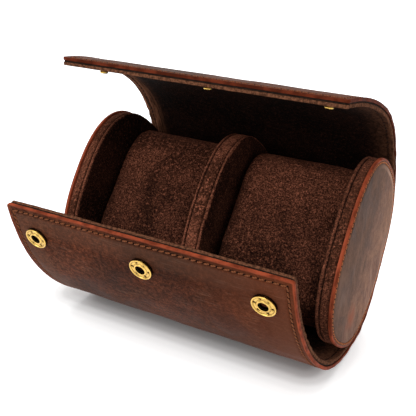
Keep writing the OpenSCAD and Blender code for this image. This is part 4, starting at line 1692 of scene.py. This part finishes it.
class WATCHROLL_OT_stage(WatchRollOperator, bpy.types.Operator):
    """Pale floor, soft boxes, a white surround and the camera"""

    bl_idname = "watchroll.stage"
    bl_label = "Stage"

    def execute(self, context):
        stage = context.scene.watchroll_stage
        context.scene.view_settings.view_transform = "Standard"
        self.floor(stage)
        self.world()
        for name, place, size, power in SOFT_BOXES:
            light = bpy.data.lights.new(name, "AREA")
            light.size = size
            light.energy = getattr(stage, power)
            aim = Vector(LAMPS_AIM) - Vector(place)
            add_object(name, light).matrix_world = turned_to(place, aim)
        self.camera(stage)
        return {"FINISHED"}

    @staticmethod
    def floor(stage):
        """A pale slab. Seen rays also get a glow that rises from the roll's foot outwards, a ramp
        of the distance from a rectangle under the roll, which paints a contact shadow round the
        foot and leaves the slab white further out."""
        points = np.array([
            [x, y, z] for z in (-FLOOR_T, -FLOOR_DROP) for y in (-FLOOR_REACH, FLOOR_REACH)
            for x in (-FLOOR_REACH, FLOOR_REACH)
        ]) / MM
        faces = [[0, 2, 3, 1], [4, 5, 7, 6], [0, 1, 5, 4], [2, 6, 7, 3], [0, 4, 6, 2], [1, 3, 7, 5]]
        obj = write_mesh("floor", points, faces)
        shade = Shader("pale_floor")
        shade.set(colour=tuple(stage.floor), rough=0.9, specular=0.0)
        x, y, _ = shade.axes(shade.place())
        beside = [
            shade.maths("MAXIMUM", shade.maths("SUBTRACT", shade.maths(
                "ABSOLUTE", shade.maths("SUBTRACT", at, middle)), reach), 0.0)
            for at, middle, reach in ((x, SHADE_X, SHADE_X_REACH), (y, SHADE_Y, SHADE_Y_REACH))
        ]
        painted_shadow_glow = shade.ramp(shade.distance(*beside), SHADE_STOPS, (0.0, 0.1))
        path = shade.node("ShaderNodeLightPath")
        seen = shade.maths("MAXIMUM", path.outputs[SEEN_RAYS[0]], path.outputs[SEEN_RAYS[1]])
        seen = shade.maths("MAXIMUM", seen, path.outputs[SEEN_RAYS[2]])
        glow = shade.node("ShaderNodeEmission")
        shade.link(painted_shadow_glow, glow.inputs["Strength"])
        dark = shade.node("ShaderNodeEmission")
        dark.inputs["Strength"].default_value = 0.0
        choose = shade.node("ShaderNodeMixShader")
        shade.link(seen, choose.inputs[0])
        shade.link(dark.outputs[0], choose.inputs[1])
        shade.link(glow.outputs[0], choose.inputs[2])
        add = shade.node("ShaderNodeAddShader")
        shade.link(choose.outputs[0], add.inputs[0])
        shade.link(shade.bsdf.outputs[0], add.inputs[1])
        shade.link(add.outputs[0], shade.tree.nodes["Material Output"].inputs["Surface"])
        obj.data.materials.append(shade.material)

    @staticmethod
    def world():
        """A white surround that is plain white to seen rays and dimmer as light."""
        world = bpy.data.worlds.new("white_surround")
        bpy.context.scene.world = world
        world.use_nodes = True
        tree = world.node_tree
        back = tree.nodes["Background"]
        back.inputs["Color"].default_value = (1, 1, 1, 1)
        path = tree.nodes.new("ShaderNodeLightPath")
        seen = path.outputs[SEEN_RAYS[0]]
        for ray in SEEN_RAYS[1:]:
            both = tree.nodes.new("ShaderNodeMath")
            both.operation = "MAXIMUM"
            tree.links.new(seen, both.inputs[0])
            tree.links.new(path.outputs[ray], both.inputs[1])
            seen = both.outputs[0]
        strength = tree.nodes.new("ShaderNodeMapRange")
        strength.inputs["To Min"].default_value = SURROUND_LIGHT
        strength.inputs["To Max"].default_value = SURROUND_SEEN
        tree.links.new(seen, strength.inputs["Value"])
        tree.links.new(strength.outputs[0], back.inputs["Strength"])

    @staticmethod
    def camera(stage):
        """The camera at its place, looking along its azimuth and elevation."""
        data = bpy.data.cameras.new("camera")
        data.lens, data.sensor_width = stage.lens, FILM_WIDTH
        data.clip_start, data.clip_end = 0.01, 20.0
        az, el = stage.azimuth, stage.elevation
        look = (-math.sin(az) * math.cos(el), math.cos(az) * math.cos(el), -math.sin(el))
        obj = add_object("camera", data)
        obj.matrix_world = turned_to(CAMERA_AT, look)
        bpy.context.scene.camera = obj


# ---- the panel ----

STEPS = (
    WATCHROLL_OT_stage,
    WATCHROLL_OT_inner_parts,
    WATCHROLL_OT_wrap,
    WATCHROLL_OT_wrap_stitches,
    WATCHROLL_OT_end_caps,
    WATCHROLL_OT_divider,
    WATCHROLL_OT_cushions,
    WATCHROLL_OT_sockets,
    WATCHROLL_OT_studs,
)

# the settings' names in the scene
GROUPS = {
    "watchroll_hide": HideSettings,
    "watchroll_cushion": CushionSettings,
    "watchroll_snap": SnapSettings,
    "watchroll_stage": StageSettings,
}


class WATCHROLL_PT_panel(bpy.types.Panel):
    """Settings and steps of the watch roll"""

    bl_label = "Watch Roll"
    bl_idname = "WATCHROLL_PT_panel"
    bl_space_type = "VIEW_3D"
    bl_region_type = "UI"
    bl_category = "Watch Roll"

    def draw(self, context):
        for name in GROUPS:
            box = self.layout.box()
            box.label(text=name.removeprefix("watchroll_").title())
            group = getattr(context.scene, name)
            for key in group.__annotations__:
                box.prop(group, key)
        for step in STEPS:
            self.layout.operator(step.bl_idname)


def register():
    """Makes the settings, the steps and the panel known to Blender."""
    for group in GROUPS.values():
        bpy.utils.register_class(group)
    for name, group in GROUPS.items():
        setattr(bpy.types.Scene, name, PointerProperty(type=group))
    for step in STEPS:
        bpy.utils.register_class(step)
    bpy.utils.register_class(WATCHROLL_PT_panel)


def unregister():
    """Takes them away again, in the other order."""
    bpy.utils.unregister_class(WATCHROLL_PT_panel)
    for step in reversed(STEPS):
        bpy.utils.unregister_class(step)
    for name in GROUPS:
        delattr(bpy.types.Scene, name)
    for group in reversed(GROUPS.values()):
        bpy.utils.unregister_class(group)


def main():
    """Builds the dressed roll step by step."""
    register()
    for step in STEPS:
        space, name = step.bl_idname.split(".")
        getattr(getattr(bpy.ops, space), name)()


if __name__ == "__main__":
    main()
